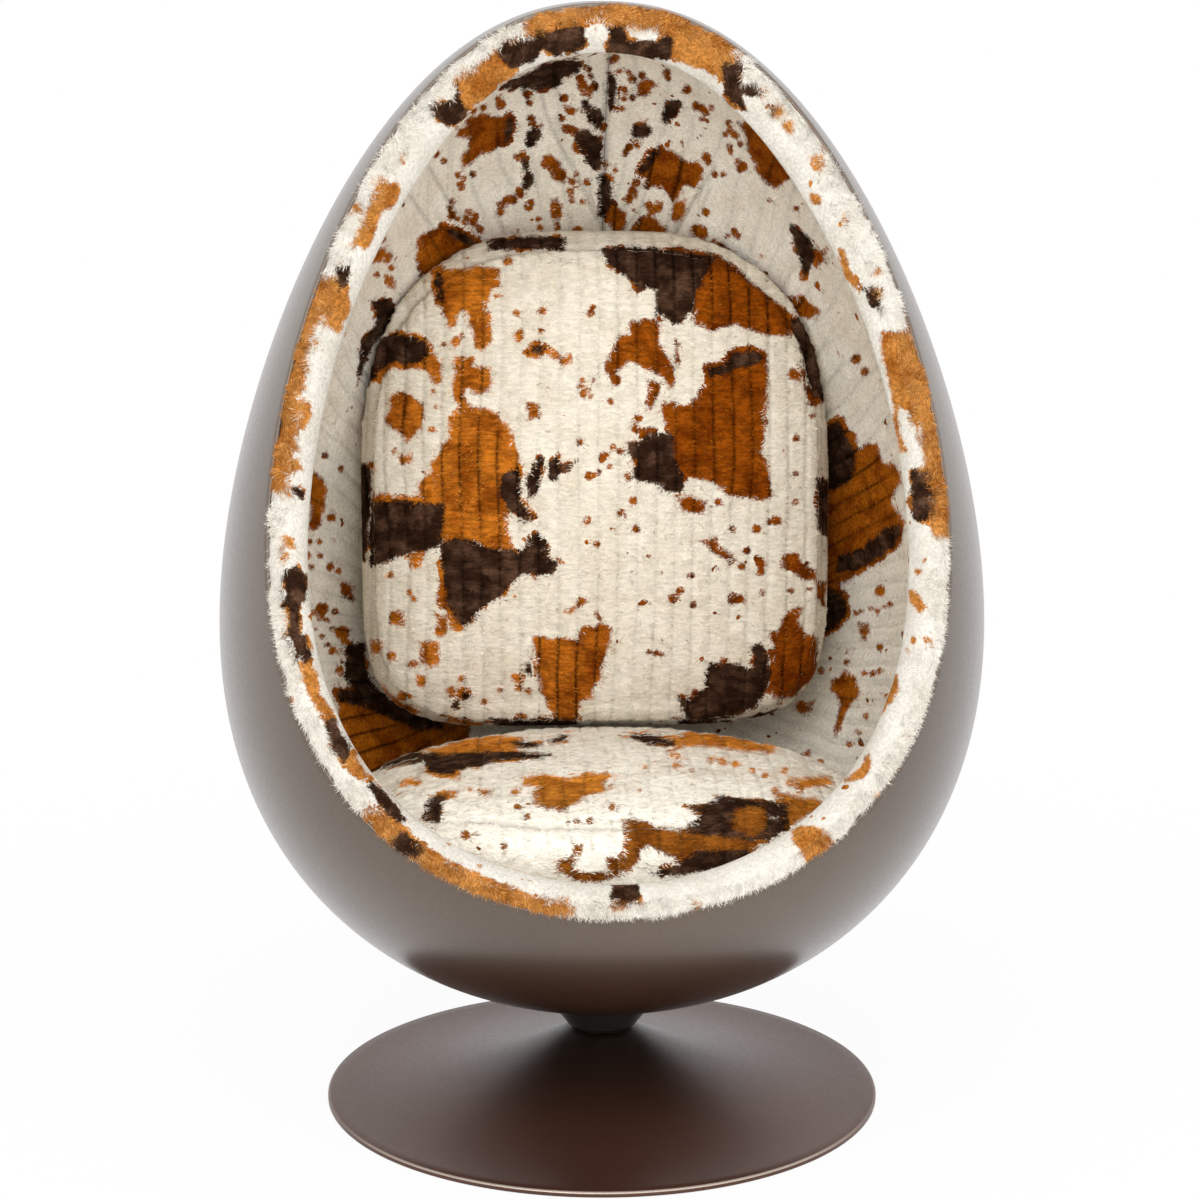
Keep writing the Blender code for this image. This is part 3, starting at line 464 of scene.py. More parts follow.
def lacquer(name, dark, pale, flake, gloss=0.5, neck_shade=None, bevel_highlight=None, under=None):
    """Satin metallic paint: fine flakes, a soft cloud of tone and a slight orange peel. under
    is painted shade on the egg's foot, darker towards the bottom; the base gets painted shade
    round its middle, under the shell, and a painted highlight along the front of its rim."""
    nodes = new_nodes(name)
    place = nodes.place()
    cloud = nodes.spread(nodes.noise(place, 3.0, 3.0), 0.35, 0.65)
    flakes = nodes.spread(nodes.noise(place, 1500.0, 1.0), 0.35, 0.75)
    colour = nodes.mix(cloud, dark, pale)
    colour = nodes.mix(nodes.times(flakes, 0.35), colour, flake)
    x, y, z = nodes.split(place)
    # Painted shade: the egg's foot darkens towards the bottom.
    if under:
        colour = nodes.mix(nodes.spread(z, FOOT_SHADE_FROM, FOOT_SHADE_TO, 0.75, 0.0), colour, under)
    # Painted shade: the base darkens towards its middle, where the shell hangs over it.
    if neck_shade:
        reach = nodes.math("SQRT", nodes.plus(nodes.times(x, x), nodes.times(y, y)))
        colour = nodes.mix(nodes.spread(reach, NECK_SHADE_FROM, NECK_SHADE_TO, 1.0, 0.0), colour, neck_shade)
        # Painted highlight: a pale line along the rim's top edge, strongest at the front.
        edge = nodes.times(nodes.spread(reach, BEVEL_HIGHLIGHT_FROM, BEVEL_HIGHLIGHT_TO),
                           nodes.spread(z, BEVEL_HIGHLIGHT_LOW, BEVEL_HIGHLIGHT_HIGH),
                           nodes.spread(y, -0.30, -0.10, 0.9, 0.2))
        colour = nodes.mix(edge, colour, bevel_highlight)
    rough = nodes.spread(nodes.noise(place, 220.0, 3.0), 0.3, 0.7, 0.33, 0.39)
    nodes.bump(nodes.noise(place, 130.0, 2.0), 0.05, 0.0004)
    return nodes.set(Base_Color=colour, Roughness=rough, Metallic=0.45, Coat_Weight=gloss,
                     Coat_Roughness=0.24)


def plain(name, first, second, scale, rough, metallic=0.0, depth=0.0002, stretch=None):
    """Two tones broken up by noise, with a fine bump."""
    nodes = new_nodes(name)
    place = nodes.place()
    tone = nodes.spread(nodes.noise(place, scale, 4.0, 0.6, stretch), 0.3, 0.7)
    fine = nodes.noise(place, scale * 4, 3.0, 0.6, stretch)
    nodes.bump(fine, 0.35, depth)
    return nodes.set(Base_Color=nodes.mix(tone, first, second), Metallic=metallic,
                     Roughness=nodes.spread(fine, 0.3, 0.7, rough - 0.05, rough + 0.05))


# One fur's browns, copied per piece and made lighter or darker for how light falls on each: painted
# light and painted shade.
BACK_BROWN = (linear(139, 66, 9), linear(185, 99, 21), linear(213, 136, 50))
SEAT_BROWN = (linear(176, 99, 28), linear(215, 133, 49), linear(232, 162, 80))
LINING_BROWN = (linear(143, 69, 8), linear(188, 104, 21), linear(212, 140, 56))
TRIM_BROWN = (linear(161, 93, 32), linear(201, 133, 63), linear(215, 167, 104))
DARK_DEEP = linear(50, 31, 20)
DARK_SOFT = linear(97, 70, 53)
FRINGE = 4.5
SWELL = 0.9


def patch_masks(nodes, root, specks):
    """Where the pile is brown and where it is dark, with ragged edges, fringes and specks."""
    ragged = nodes.plus(nodes.swing(root, 75.0, 9.0), nodes.swing(root, 420.0, 8.0), SWELL)
    brown_at = nodes.plus(nodes.attribute("brown"), ragged)
    dark_at = nodes.plus(nodes.attribute("dark"), ragged)
    both = nodes.spread(nodes.math("MINIMUM", brown_at, dark_at), -6.0, -1.5, 0.0, 6.5)
    speck = nodes.times(nodes.spread(nodes.noise(root, 62.0, 1.0), specks, specks + 0.02),
                        nodes.spread(nodes.noise(root, 9.0, 1.0), 0.44, 0.50))
    fringe = nodes.spread(nodes.noise(root, 48.0, 1.0), 0.46, 0.72, -1.0, FRINGE)
    fringe = nodes.spread(nodes.plus(dark_at, fringe), -1.0, 2.0)
    brown = nodes.spread(nodes.plus(brown_at, both), -1.8, 2.4)
    brown = nodes.math("MAXIMUM", nodes.math("MAXIMUM", brown, speck), fringe)
    return brown, nodes.spread(dark_at, -1.4, 2.2)


def grooves(nodes, root, patchy, lines):
    """Shade of the ribs' flanks, of the lines between them and of the seams. lines gives the
    strength of the lines on the cream and on the patches."""
    across = nodes.math("FRACT", nodes.attribute("phase"))
    across = nodes.math("ABSOLUTE", nodes.math("SUBTRACT", nodes.times(across, 2.0), 1.0))
    line = nodes.times(nodes.spread(across, 0.72, 0.98),
                       nodes.spread(nodes.noise(root, 8.0, 1.0), 0.35, 0.65, 0.35, 1.0),
                       nodes.spread(patchy, 0.0, 1.0, *lines))
    # Painted shade along seams and creases, and where the lining runs in under the trim.
    line = nodes.math("MAXIMUM", line, nodes.times(nodes.attribute("seam"), 0.42))
    flank = nodes.times(nodes.math("POWER", across, 2.0),
                        nodes.spread(patchy, 0.0, 1.0, 0.05, 0.20))
    return nodes.plus(line, flank)


def fur(name, cream, shade, brown_tones, crinkle, specks, lines=(0.10, 0.46), drift=None):
    """Cow-print pile. Patches come as signed distances that the mesh carries. drift tints the
    browns along an axis: (axis, start, end, tint at the start, tint at the end)."""
    nodes = new_nodes(name)
    root = nodes.attribute("root", "Vector")
    chance = nodes.attribute("chance")
    brown, dark = patch_masks(nodes, root, specks)
    patchy = nodes.math("MAXIMUM", brown, dark)

    pale = nodes.mix(nodes.spread(nodes.noise(root, 26.0, 3.0), 0.35, 0.7), cream, shade)
    warm = nodes.mix(nodes.spread(nodes.noise(root, 38.0, 3.0), 0.32, 0.62), brown_tones[0],
                     brown_tones[1])
    golden = nodes.times(nodes.spread(chance, 0.5, 1.0), 0.55)
    warm = nodes.mix(golden, warm, brown_tones[2])
    if drift:
        axis, start, end, first, last = drift
        there = nodes.spread(nodes.split(root)[axis], start, end)
        warm = nodes.mix(1.0, warm, nodes.mix(there, first, last), "MULTIPLY")
    deep = nodes.mix(nodes.spread(nodes.noise(root, 60.0, 3.0), 0.4, 0.75), DARK_DEEP,
                     DARK_SOFT)
    colour = nodes.mix(dark, nodes.mix(brown, pale, warm), deep)

    # The pile's tone, multiplied into its colour: crinkled and random, with painted shade at the
    # pile's roots, on the ribs' flanks, in the grooves between ribs and along seams and creases.
    waves = nodes.noise(root, 300.0, 2.0, 0.55, crinkle)
    grain = nodes.noise(nodes.place(), 1100.0, 2.0, 0.6, crinkle)
    lowest = nodes.spread(patchy, 0.0, 1.0, 0.88, 0.58)
    shaded = nodes.times(nodes.spread(waves, 0.34, 0.66, lowest, 1.08),
                         nodes.spread(chance, 0.0, 1.0, 0.88, 1.12),
                         nodes.spread(nodes.attribute("tip"), 0.0, 1.0, 0.82, 1.10),
                         nodes.math("SUBTRACT", 1.06, grooves(nodes, root, patchy, lines)))
    tone = nodes.add("ShaderNodeCombineColor")
    for socket in tone.inputs:
        nodes.join(shaded, socket)
    colour = nodes.mix(1.0, colour, tone.outputs[0], "MULTIPLY")
    nodes.bump(nodes.plus(waves, nodes.times(grain, 0.4)), 0.8, 0.0016)
    return nodes.set(Base_Color=colour, Roughness=0.9, Specular_IOR_Level=0.02)


# Cow patches, read from the photograph as outlines in its frame: x1, y1, x2, y2, ...

PATCHES = {
    "back_brown": [
        (434,272,449,269,467,269,484,266,499,269,499,284,491,291,484,311,491,313,491,338,484,349,
        476,347,472,329,467,311,462,307,456,324,449,327,444,311,440,302,436,289),
        (396,333,422,338,438,358,442,382,436,384,427,371,413,367,391,367,380,382,376,380,382,362,
        400,350),
        (453,358,473,356,473,367,491,367,491,384,484,393,471,393,467,389,462,396,471,407,489,409,
        502,420,511,433,518,456,518,471,502,473,498,491,507,509,507,531,511,540,507,549,489,547,476,
        536,453,540,442,536,444,513,436,496,433,478,431,464,442,451,449,433,449,416,458,407,453,389,
        456,371),
        (391,396,402,391,413,398,422,404,422,418,416,433,407,442,398,433,391,427,384,420,391,407),
        (398,453,404,458,411,451,409,462,402,464),
        (527,351,538,342,551,347,562,356,571,356,572,362,562,364,553,356,542,351,531,355),
        (526,402,539,404,540,417,530,420), (418,482,431,476,440,496,442,504,422,502),
        (378,493,400,496,422,502,396,503,376,500), (407,558,422,553,420,567,413,569),
        (440,562,447,571,449,602,456,616,462,631,453,629,447,611,438,607,440,593),
        (533,636,551,638,578,640,582,627,600,624,611,627,609,645,604,660,600,676,589,697,580,702,
        578,716,565,718,549,711,542,693,538,671,535,653),
        (716,258,733,262,753,284,776,302,796,320,789,333,771,336,753,331,733,324,711,331,696,324,
        696,293,709,267),
        (604,367,613,349,620,336,631,333,631,322,640,324,644,318,656,320,660,333,658,342,664,353,
        673,367,676,382,671,387,662,376,649,371,636,362,627,360,616,371,607,373),
        (675,340,679,342,679,366,675,364), (648,380,660,384,658,396,651,409,647,400),
        (660,404,673,402,684,407,698,396,704,382,707,367,720,367,729,356,738,349,756,349,764,351,
        767,380,767,416,764,442,762,451,769,473,771,496,762,500,747,496,729,496,713,482,696,478,682,
        476,673,456,671,433,662,416), (676,500,689,496,707,502,704,513,691,512,680,507),
        (702,540,716,538,722,549,733,553,733,564,727,564,720,556,709,549),
        (784,556,796,553,802,562,816,571,816,580,802,578,791,571,782,567),
        (771,633,778,631,784,616,796,607,802,607,798,620,804,631,818,638,816,678,804,687,796,696,
        778,700,771,690,774,660), (564,613,575,606,580,598,586,600,579,608,568,614),
        (389,612,403,612,404,624,391,625), (420,642,438,643,440,660,430,667,421,660),
        (371,640,382,644,381,653,373,654), (435,613,447,617,446,633,437,630),
        (418,676,426,676,424,685,417,685), (817,580,825,582,824,606,817,600),
        (789,369,802,372,800,382,790,378), (809,389,818,392,817,409,810,405),
        (376,682,400,702,420,711,415,716,390,707,372,690), (449,716,484,724,482,729,447,721)],
    "back_dark": [
        (434,272,442,271,443,302,438,300),
        (367,358,378,338,396,333,413,336,427,344,429,356,413,364,396,362,382,367,376,378,369,380),
        (502,473,518,469,520,482,520,496,529,513,536,518,527,522,516,513,507,511,499,491),
        (529,478,538,456,544,456,542,473,536,496,528,498),
        (549,462,558,453,560,464,576,462,569,471,560,471,556,482,549,478),
        (371,502,396,500,422,502,442,504,444,522,442,540,436,549,418,551,396,558,371,567,369,540),
        (442,540,476,540,489,549,507,549,524,551,527,536,538,533,547,542,549,558,558,562,556,573,
        542,576,524,573,516,578,507,589,493,602,476,611,467,627,460,624,453,616,447,602,444,576,440,
        558), (352,463,371,465,371,502,364,560,352,560),
        (602,249,627,247,667,249,716,258,709,267,696,293,696,307,680,322,673,324,658,311,656,289,
        640,289,627,276,609,264),
        (707,367,720,367,733,353,756,351,761,356,758,364,738,367,722,373,711,376),
        (629,442,640,442,649,433,671,433,673,456,684,478,682,491,667,491,653,482,640,482,631,478,
        638,460,627,453),
        (676,696,689,700,704,689,709,662,733,664,753,667,753,644,760,642,769,658,771,680,764,696,
        756,707,733,716,711,720,689,718,682,707), (527,353,533,347,544,349,538,353),
        (526,664,531,664,531,677,526,674), (487,238,530,236,565,238,565,250,520,249,489,250),
        (790,320,800,316,816,345,824,400,812,396,800,350), (817,478,832,480,832,540,817,530),
        (452,700,459,700,458,709,452,708), (462,692,470,694,468,700,462,699),
        # These two bands along the cushion's foot are partly dark print and partly painted shadow
        # in the gap above the seat.
        (490,718,576,720,576,728,494,727), (676,718,735,722,780,709,782,718,730,730,680,726)],
    "seat_brown": [
        (432,752,450,742,470,734,495,732,515,737,515,745,500,750,515,752,500,754,475,752,450,754,
        435,756), (430,770,457,772,455,777,440,774),
        (522,777,545,775,570,780,585,772,600,775,607,770,612,777,602,782,605,790,590,795,580,800,
        570,805,560,811,540,807,532,800,535,787,525,787),
        (675,740,690,730,710,729,730,731,760,734,775,745,775,752,750,752,720,747,675,745),
        (777,793,800,797,815,799,825,805,815,812,800,820,790,824,785,829),
        (730,803,765,803,767,835,730,837),
        (622,820,645,820,655,827,670,831,700,835,730,840,765,842,750,850,730,855,715,860,690,850,
        680,860,670,855,650,845,640,850,635,865,620,872,615,865,622,850,625,835),
        (575,847,582,845,580,855,572,865,580,872,600,872,615,877,600,881,575,880,560,872,557,862,
        565,860,572,855), (607,858,621,855,619,876,609,879),
        (397,783,410,779,421,781,418,785,402,786), (442,797,450,791,458,792,454,797),
        (794,780,828,776,830,784,796,789), (480,790,488,791,487,797,480,795)],
    "seat_dark": [
        (372,762,390,755,415,750,435,755,475,752,515,752,550,755,535,759,500,760,475,767,457,770,
        450,775,430,772,425,762,400,765,375,770), (512,741,540,744,538,748,512,747),
        (548,741,567,735,566,740,552,744),
        (422,817,425,805,432,797,445,795,440,807,440,822,425,822),
        (630,735,650,734,675,741,675,746,650,745,632,739),
        (685,805,700,807,710,802,717,797,750,800,775,802,790,805,787,818,767,818,762,808,742,806,
        733,812,733,828,742,835,752,837,752,841,740,839,720,835,695,834,685,830,695,820,700,812),
        (767,818,787,818,785,830,775,837,752,841,752,837,763,831),
        (675,865,695,852,710,850,740,850,755,853,730,865,710,870,690,873,675,876,660,876,650,874)],
    "trim_brown": [
        (598,4,627,4,653,6,680,15,707,25,733,41,744,49,731,50,729,67,727,82,707,71,680,62,671,56,
        673,40,658,28,636,24,613,22,598,22),
        (523,26,526,16,556,10,600,4,600,22,580,25,556,29,533,32), (778,99,785,102,783,111,778,109),
        (782,121,789,119,791,129,784,129),
        (458,84,467,71,484,58,496,49,511,67,518,73,502,84,489,96,476,104,467,109,458,100),
        (380,182,396,182,400,191,393,207,380,213,373,236,364,249,353,242,358,222,367,200),
        (318,276,333,278,347,289,351,311,338,333,329,329,324,311,318,329,309,356,302,389,296,433,
        289,478,284,491,268,487,269,447,276,390,284,350,295,315,309,290),
        (300,404,309,402,311,416,304,429,298,427), (289,462,298,460,302,469,291,471),
        (284,536,296,538,295,549,285,547),
        (300,667,311,662,318,676,320,693,333,711,329,720,318,711,309,693,302,680),
        (340,756,353,753,364,769,369,778,362,780,349,771),
        (358,811,371,807,391,818,404,831,418,844,440,853,467,869,507,887,547,898,569,902,571,911,
        551,915,529,910,493,899,458,884,431,870,400,850,368,828),
        (791,831,800,827,822,829,829,840,820,853,809,862,802,849,793,842),
        (842,780,862,767,869,753,871,764,862,778,849,782),
        (884,687,896,676,897,689,891,702,878,716,873,720,871,711,884,700),
        (882,333,907,324,918,349,929,389,940,433,950,469,954,513,952,538,933,531,927,522,933,496,
        925,460,920,440,915,425,912,413,900,408,897,420,902,440,907,452,901,452,895,430,893,402,887,
        376,882,349), (909,591,916,593,927,607,920,611,911,602), (618,888,632,888,634,897,617,897),
        (840,249,844,253,849,267,858,284,856,291,847,278,840,262),
        (811,161,820,160,821,171,813,171), (811,193,822,196,820,204,813,202),
        (289,602,297,604,298,632,291,630)],
    "trim_dark": [
        (609,27,622,24,627,40,658,42,667,33,673,40,671,60,658,60,631,58,609,52),
        (721,64,738,57,746,68,741,80,742,94,747,111,735,106,724,92),
        (739,82,754,80,761,90,751,97,740,94), (771,102,776,104,774,111,771,109),
        (496,49,511,38,524,36,547,33,578,24,584,29,584,47,576,53,556,56,542,51,531,62,520,67,511,67,
        502,58), (433,109,442,100,453,102,456,87,462,104,469,111,462,120,449,127,438,120),
        (338,262,349,267,349,284,338,289,331,280), (291,484,304,492,303,498,291,490),
        (284,571,296,567,307,576,307,600,300,604,300,632,306,638,311,656,307,662,296,656,289,629,
        287,602), (324,720,333,718,338,729,349,742,351,753,344,764,333,751,327,733),
        (371,782,380,787,396,804,407,820,400,824,387,813,376,800,367,787),
        (391,836,404,831,422,845,418,855,400,850), (613,884,638,883,641,896,633,902,610,901),
        (911,469,929,469,931,491,927,522,913,520,911,500),
        (862,289,878,288,882,296,882,307,871,307,867,298)],
    "lining_brown": [
        (466,119,480,114,496,116,511,116,511,129,508,141,498,146,491,154,480,152,473,162,461,167,
        460,159,468,151,470,139,457,136,458,128,465,128),
        (543,156,551,154,558,162,563,171,567,176,564,182,556,181,551,174,546,169),
        (550,200,556,198,562,204,561,217,553,218),
        (606,207,612,204,625,214,626,226,618,232,609,228),
        (639,171,645,162,650,153,662,149,675,153,685,161,697,162,702,169,701,182,695,187,685,186,
        678,197,672,201,663,189,655,186,648,189,642,186,647,176),
        (637,86,642,81,652,80,655,85,650,91,645,98,639,94),
        (673,206,685,199,687,208,682,216,677,222,671,220),
        (630,235,635,222,644,215,655,219,666,227,666,240,645,242),
        (738,122,751,122,763,133,774,148,784,161,795,176,786,181,776,189,763,179,753,163,748,148,
        745,133), (814,252,824,250,826,263,817,265),
        (779,301,789,296,804,295,819,311,812,319,796,316,784,306),
        (692,227,700,226,707,235,704,239,694,238), (705,243,722,242,733,252,728,258,714,255),
        (824,428,837,417,845,428,855,433,855,451,865,445,876,445,883,463,893,463,901,476,896,489,
        891,502,901,517,896,545,883,555,855,576,835,588,845,596,847,616,835,627,822,634,822,430),
        (832,682,845,671,855,679,860,692,853,702,845,712,837,738,835,733,840,702,832,689),
        (799,710,814,700,812,710,802,715), (860,624,867,625,866,640,861,640),
        (417,240,430,230,445,225,465,235,478,242,465,255,450,263,419,278,417,260),
        (371,263,381,247,391,255,389,263), (386,276,394,277,393,288,387,286),
        (311,469,320,476,327,491,322,513,318,529,309,531,311,509,307,491),
        (338,581,353,586,353,601,343,596), (317,607,325,608,324,620,318,620),
        (338,628,350,629,349,642,339,640),
        # Partly brown print and partly painted shadow, where the lining meets the seat beside the
        # back cushion.
        (335,690,352,700,372,705,470,725,470,745,400,760,385,790,360,790,345,750)],
    "lining_dark": [
        (496,88,513,80,529,73,543,65,562,61,576,59,581,63,579,73,566,76,557,88,546,89,533,91,519,88,
        508,90), (504,128,509,115,513,122,511,138,504,145),
        (526,134,533,128,540,128,541,134,536,144,529,148,525,144),
        (521,162,524,158,529,164,533,176,533,184,526,190,522,192,521,182,524,174),
        (582,99,586,98,592,107,600,111,603,119,602,129,596,128,589,119,584,111),
        (575,131,586,131,592,134,601,137,601,166,598,172,589,167,584,159,579,151,574,141),
        (609,75,614,77,616,83,615,94,613,108,609,113,608,96),
        (599,174,605,176,611,182,612,200,609,212,604,219,598,215,598,192),
        (661,121,663,111,670,101,680,99,683,103,678,109,673,119,667,123),
        (630,133,635,126,645,122,652,128,651,134,642,137,634,137),
        (639,171,645,162,650,153,660,150,655,160,648,168,643,174),
        (791,224,804,232,814,245,812,265,804,278,799,255,793,237),
        (824,430,838,420,846,436,855,452,852,480,834,489,824,486),
        (838,556,862,548,885,528,900,525,896,545,883,555,855,570,836,572),
        (823,588,836,590,847,600,846,616,835,627,822,634),
        (445,226,465,235,478,242,466,245,448,234),
        # Painted shade on the lining along the back cushion's left side.
        (371,302,391,298,396,311,387,329,376,342,367,356,358,382,358,370,360,351,362,342,378,320),
        # Partly dark print and partly painted shadow, where the lining meets the seat beside the
        # back cushion.
        (345,646,363,643,368,677,379,692,399,705,430,720,453,728,422,730,400,722,372,710,338,700,
        338,690,353,690,345,677)],
}

# Small brown specks, read the same way: x, y and radius

SPECKS = {
    "back": (
        433,391,3, 436,407,2, 431,429,3, 584,393,4, 591,396,3, 589,389,2, 580,442,4, 582,380,3,
        593,380,2, 598,473,3, 589,476,4, 587,520,4, 596,544,4, 520,333,4, 542,331,3, 518,340,3,
        413,664,4, 409,593,3, 462,678,3, 451,691,4, 464,693,4, 518,678,3, 522,680,3, 518,687,4,
        513,676,2, 529,691,3, 391,656,4, 402,696,5, 440,631,5, 456,342,4, 444,344,3, 462,336,3,
        507,262,4, 542,311,4, 540,331,3, 520,336,4, 591,313,4, 593,307,3, 516,313,3, 580,387,3,
        587,391,3, 616,380,5, 611,373,3, 611,402,3, 638,418,4, 636,429,4, 642,433,3, 653,429,3,
        620,513,4, 633,500,4, 636,529,4, 604,456,4, 609,467,3, 602,460,3, 613,447,3, 620,451,3,
        627,476,2, 796,438,4, 796,473,3, 796,502,3, 813,396,4, 733,529,4, 718,502,3, 756,529,4,
        776,520,5, 769,522,3, 747,551,3, 742,567,4, 760,564,4, 761,572,4, 691,576,3, 680,591,4,
        673,598,5, 693,604,3, 733,598,5, 740,599,4, 656,653,4, 649,652,3, 661,654,3, 762,593,3,
        791,591,3, 813,416,3, 656,391,4, 613,378,4, 500,690,3, 484,702,3, 390,575,3, 414,600,2),
    "seat": (
        442,795,3, 465,835,4, 505,846,4, 425,835,4, 710,760,3, 722,762,4, 735,764,3, 672,755,3,
        677,756,3, 675,765,3, 612,807,3, 515,792,3, 517,807,3, 527,817,3, 590,820,3, 577,821,3,
        568,822,2, 775,790,4, 790,782,4, 800,790,4, 785,770,3, 560,862,4, 610,787,2, 645,768,2,
        640,790,2, 752,771,3, 765,776,3, 692,770,2, 470,790,2),
    "lining": (
        529,103,3, 531,119,4, 528,96,3, 564,98,4, 566,108,3, 562,119,3, 571,111,4, 566,128,4,
        572,128,3, 581,80,3, 584,85,4, 589,70,3, 591,76,3, 594,86,4, 589,91,4, 582,91,3, 579,86,3,
        473,109,4, 483,108,3, 501,104,5, 498,99,3, 521,154,3, 516,156,3, 529,207,5, 531,202,3,
        538,219,3, 539,227,3, 557,227,4, 577,232,5, 506,200,4, 501,205,4, 500,212,3, 513,200,4,
        519,192,3, 572,182,4, 571,192,4, 572,200,3, 582,202,3, 544,164,3, 576,174,3, 586,182,3,
        463,179,3, 461,186,4, 458,176,3, 473,174,3, 450,209,3, 452,215,4, 458,219,3, 453,202,3,
        465,222,3, 468,212,3, 473,222,4, 480,229,4, 475,215,3, 466,217,3, 443,161,3, 435,154,4,
        619,71,3, 629,73,3, 642,75,3, 632,80,4, 667,73,4, 668,78,3, 615,58,4, 610,61,3, 687,90,4,
        625,91,4, 624,99,3, 622,108,3, 632,98,3, 695,106,4, 702,108,4, 706,113,4, 711,108,3,
        702,118,3, 625,154,3, 630,147,4, 637,146,3, 627,150,3, 607,166,3, 615,169,3, 610,177,3,
        728,123,3, 730,129,3, 733,134,3, 736,136,3, 726,134,3, 730,146,3, 731,152,3, 740,144,3,
        738,162,3, 743,166,4, 740,169,3, 723,174,3, 715,174,3, 708,162,3, 706,157,4, 629,199,4,
        632,191,4, 637,182,4, 635,195,3, 649,205,4, 658,207,5, 655,210,4, 650,214,3, 706,212,4,
        695,229,4, 705,230,3, 735,232,4, 738,237,3, 796,209,3, 769,200,2, 760,256,2, 727,236,3,
        856,359,4, 865,371,4, 880,591,5, 864,631,5, 849,618,2, 856,613,2, 862,611,2, 871,609,2,
        878,611,2, 884,607,2, 891,604,2, 844,596,3, 880,647,3, 836,620,4, 802,707,6, 822,671,3,
        847,662,3, 864,673,3, 873,673,3, 880,671,3, 802,756,3, 813,764,3, 822,776,4, 831,782,3,
        809,753,3, 820,762,3, 815,771,3, 324,456,3, 331,518,4, 341,469,3, 309,542,3, 320,542,3,
        307,556,4, 320,556,3, 311,567,3, 331,567,4, 338,571,3, 322,609,6, 313,613,3, 329,622,2,
        316,629,2, 333,629,3, 322,636,3, 342,633,7, 327,645,3, 333,651,4, 338,671,3, 327,620,3,
        335,612,3, 383,240,3, 377,275,3, 392,268,3, 852,700,3, 866,716,3, 850,745,3, 858,732,3),
    "trim": (
        402,155,3, 355,207,3, 286,556,3, 876,268,3, 905,560,3, 926,640,3, 913,640,3, 918,572,3,
        848,222,3, 700,905,3, 805,800,3, 480,866,2),
}
NOWHERE = -24.0
REACH = 16.0
SPECK_GAIN = 1.5


def segment_distance(across, down, start, end):
    """Distance from places in the photograph's frame to a straight line between two."""
    edge = end - start
    share = ((across - start[0]) * edge[0] + (down - start[1]) * edge[1]) / (edge @ edge)
    share = np.clip(share, 0.0, 1.0)
    return np.hypot(across - start[0] - share * edge[0], down - start[1] - share * edge[1])


def outline_distance(across, down, outline):
    """Signed distance to a closed outline, in the photograph's pixels: positive inside."""
    corners = np.array(outline, float).reshape(-1, 2)
    field = np.full(len(across), NOWHERE)
    near = np.flatnonzero((across > corners[:, 0].min() - REACH)
                          & (across < corners[:, 0].max() + REACH)
                          & (down > corners[:, 1].min() - REACH)
                          & (down < corners[:, 1].max() + REACH))
    if len(near) == 0:
        return field
    x, y = across[near], down[near]
    closest = np.full(len(near), np.inf)
    inside = np.zeros(len(near), bool)
    for start, end in zip(corners, np.roll(corners, -1, axis=0)):
        closest = np.minimum(closest, segment_distance(x, y, start, end))
        if start[1] != end[1]:
            crossing = (y < start[1]) != (y < end[1])
            at = start[0] + (y - start[1]) * (end[0] - start[0]) / (end[1] - start[1])
            inside ^= crossing & (x < at)
    field[near] = np.where(inside, closest, -closest)
    return field


def patch_fields(points, outward, group):
    """Signed distances to the brown and the dark patches, with made-up ones out of sight."""
    across, down = seen_at(points)
    known = smooth(toward_eye(points, outward), -0.05, 0.12)
    loose = noise(points, 0.16, 3) + 0.5 * noise(points, 0.07, 4) + 0.25 * noise(points, 0.03, 5)
    other = noise(points, 0.13, 8) + 0.5 * noise(points, 0.05, 9)
    made_up = {"brown": (loose - 0.42) * 60, "dark": (np.minimum(loose, other) - 0.36) * 60}
    fields = []
    for colour in ("brown", "dark"):
        field = np.full(len(points), NOWHERE)
        for outline in PATCHES[f"{group}_{colour}"]:
            field = np.maximum(field, outline_distance(across, down, outline))
        if colour == "brown":
            for x, y, radius in np.array(SPECKS[group], float).reshape(-1, 3):
                near = np.flatnonzero((np.abs(across - x) < REACH) & (np.abs(down - y) < REACH))
                reach = np.hypot(across[near] - x, down[near] - y)
                field[near] = np.maximum(field[near], SPECK_GAIN * (radius - reach))
        blend = known * field + (1 - known) * np.clip(made_up[colour], NOWHERE, -NOWHERE)
        fields.append(blend)
    return fields


def bell(value, width):
    """1 at zero, fading smoothly over a width."""
    return np.exp(-(value / width) ** 2)


def back_seam(points):
    """How near a point is to the seam round the back cushion's face, and how far ahead."""
    along = points[:, 2] - BACK_MIDDLE_Z
    reach = np.where(along >= 0, BACK_TOP - BACK_MIDDLE_Z, BACK_MIDDLE_Z - BACK_BOTTOM)
    gauge = (np.abs(points[:, 0] / BACK_HALF_WIDTH) ** 4 + np.abs(along / reach) ** 4) ** 0.25
    lean = BACK_LEAN * along / (BACK_TOP - BACK_MIDDLE_Z)
    ahead = BACK_CENTRE_Y + lean - points[:, 1] - BACK_SEAM
    at_edge = smooth(gauge, 0.84, 0.93)
    return at_edge * bell(ahead, 0.0035), at_edge * bell(ahead - 0.008, 0.0045)


def seat_seam(points):
    """The crease along the seat cushion's front crest."""
    ahead = points[:, 1] - SEAT_SEAM_Y - 0.9 * points[:, 0] ** 2
    span = smooth(points[:, 0], -0.20, -0.15) * (1 - smooth(points[:, 0], 0.10, 0.16))
    upper = smooth(points[:, 2], 0.370, 0.380)
    return span * upper * bell(ahead, 0.004)


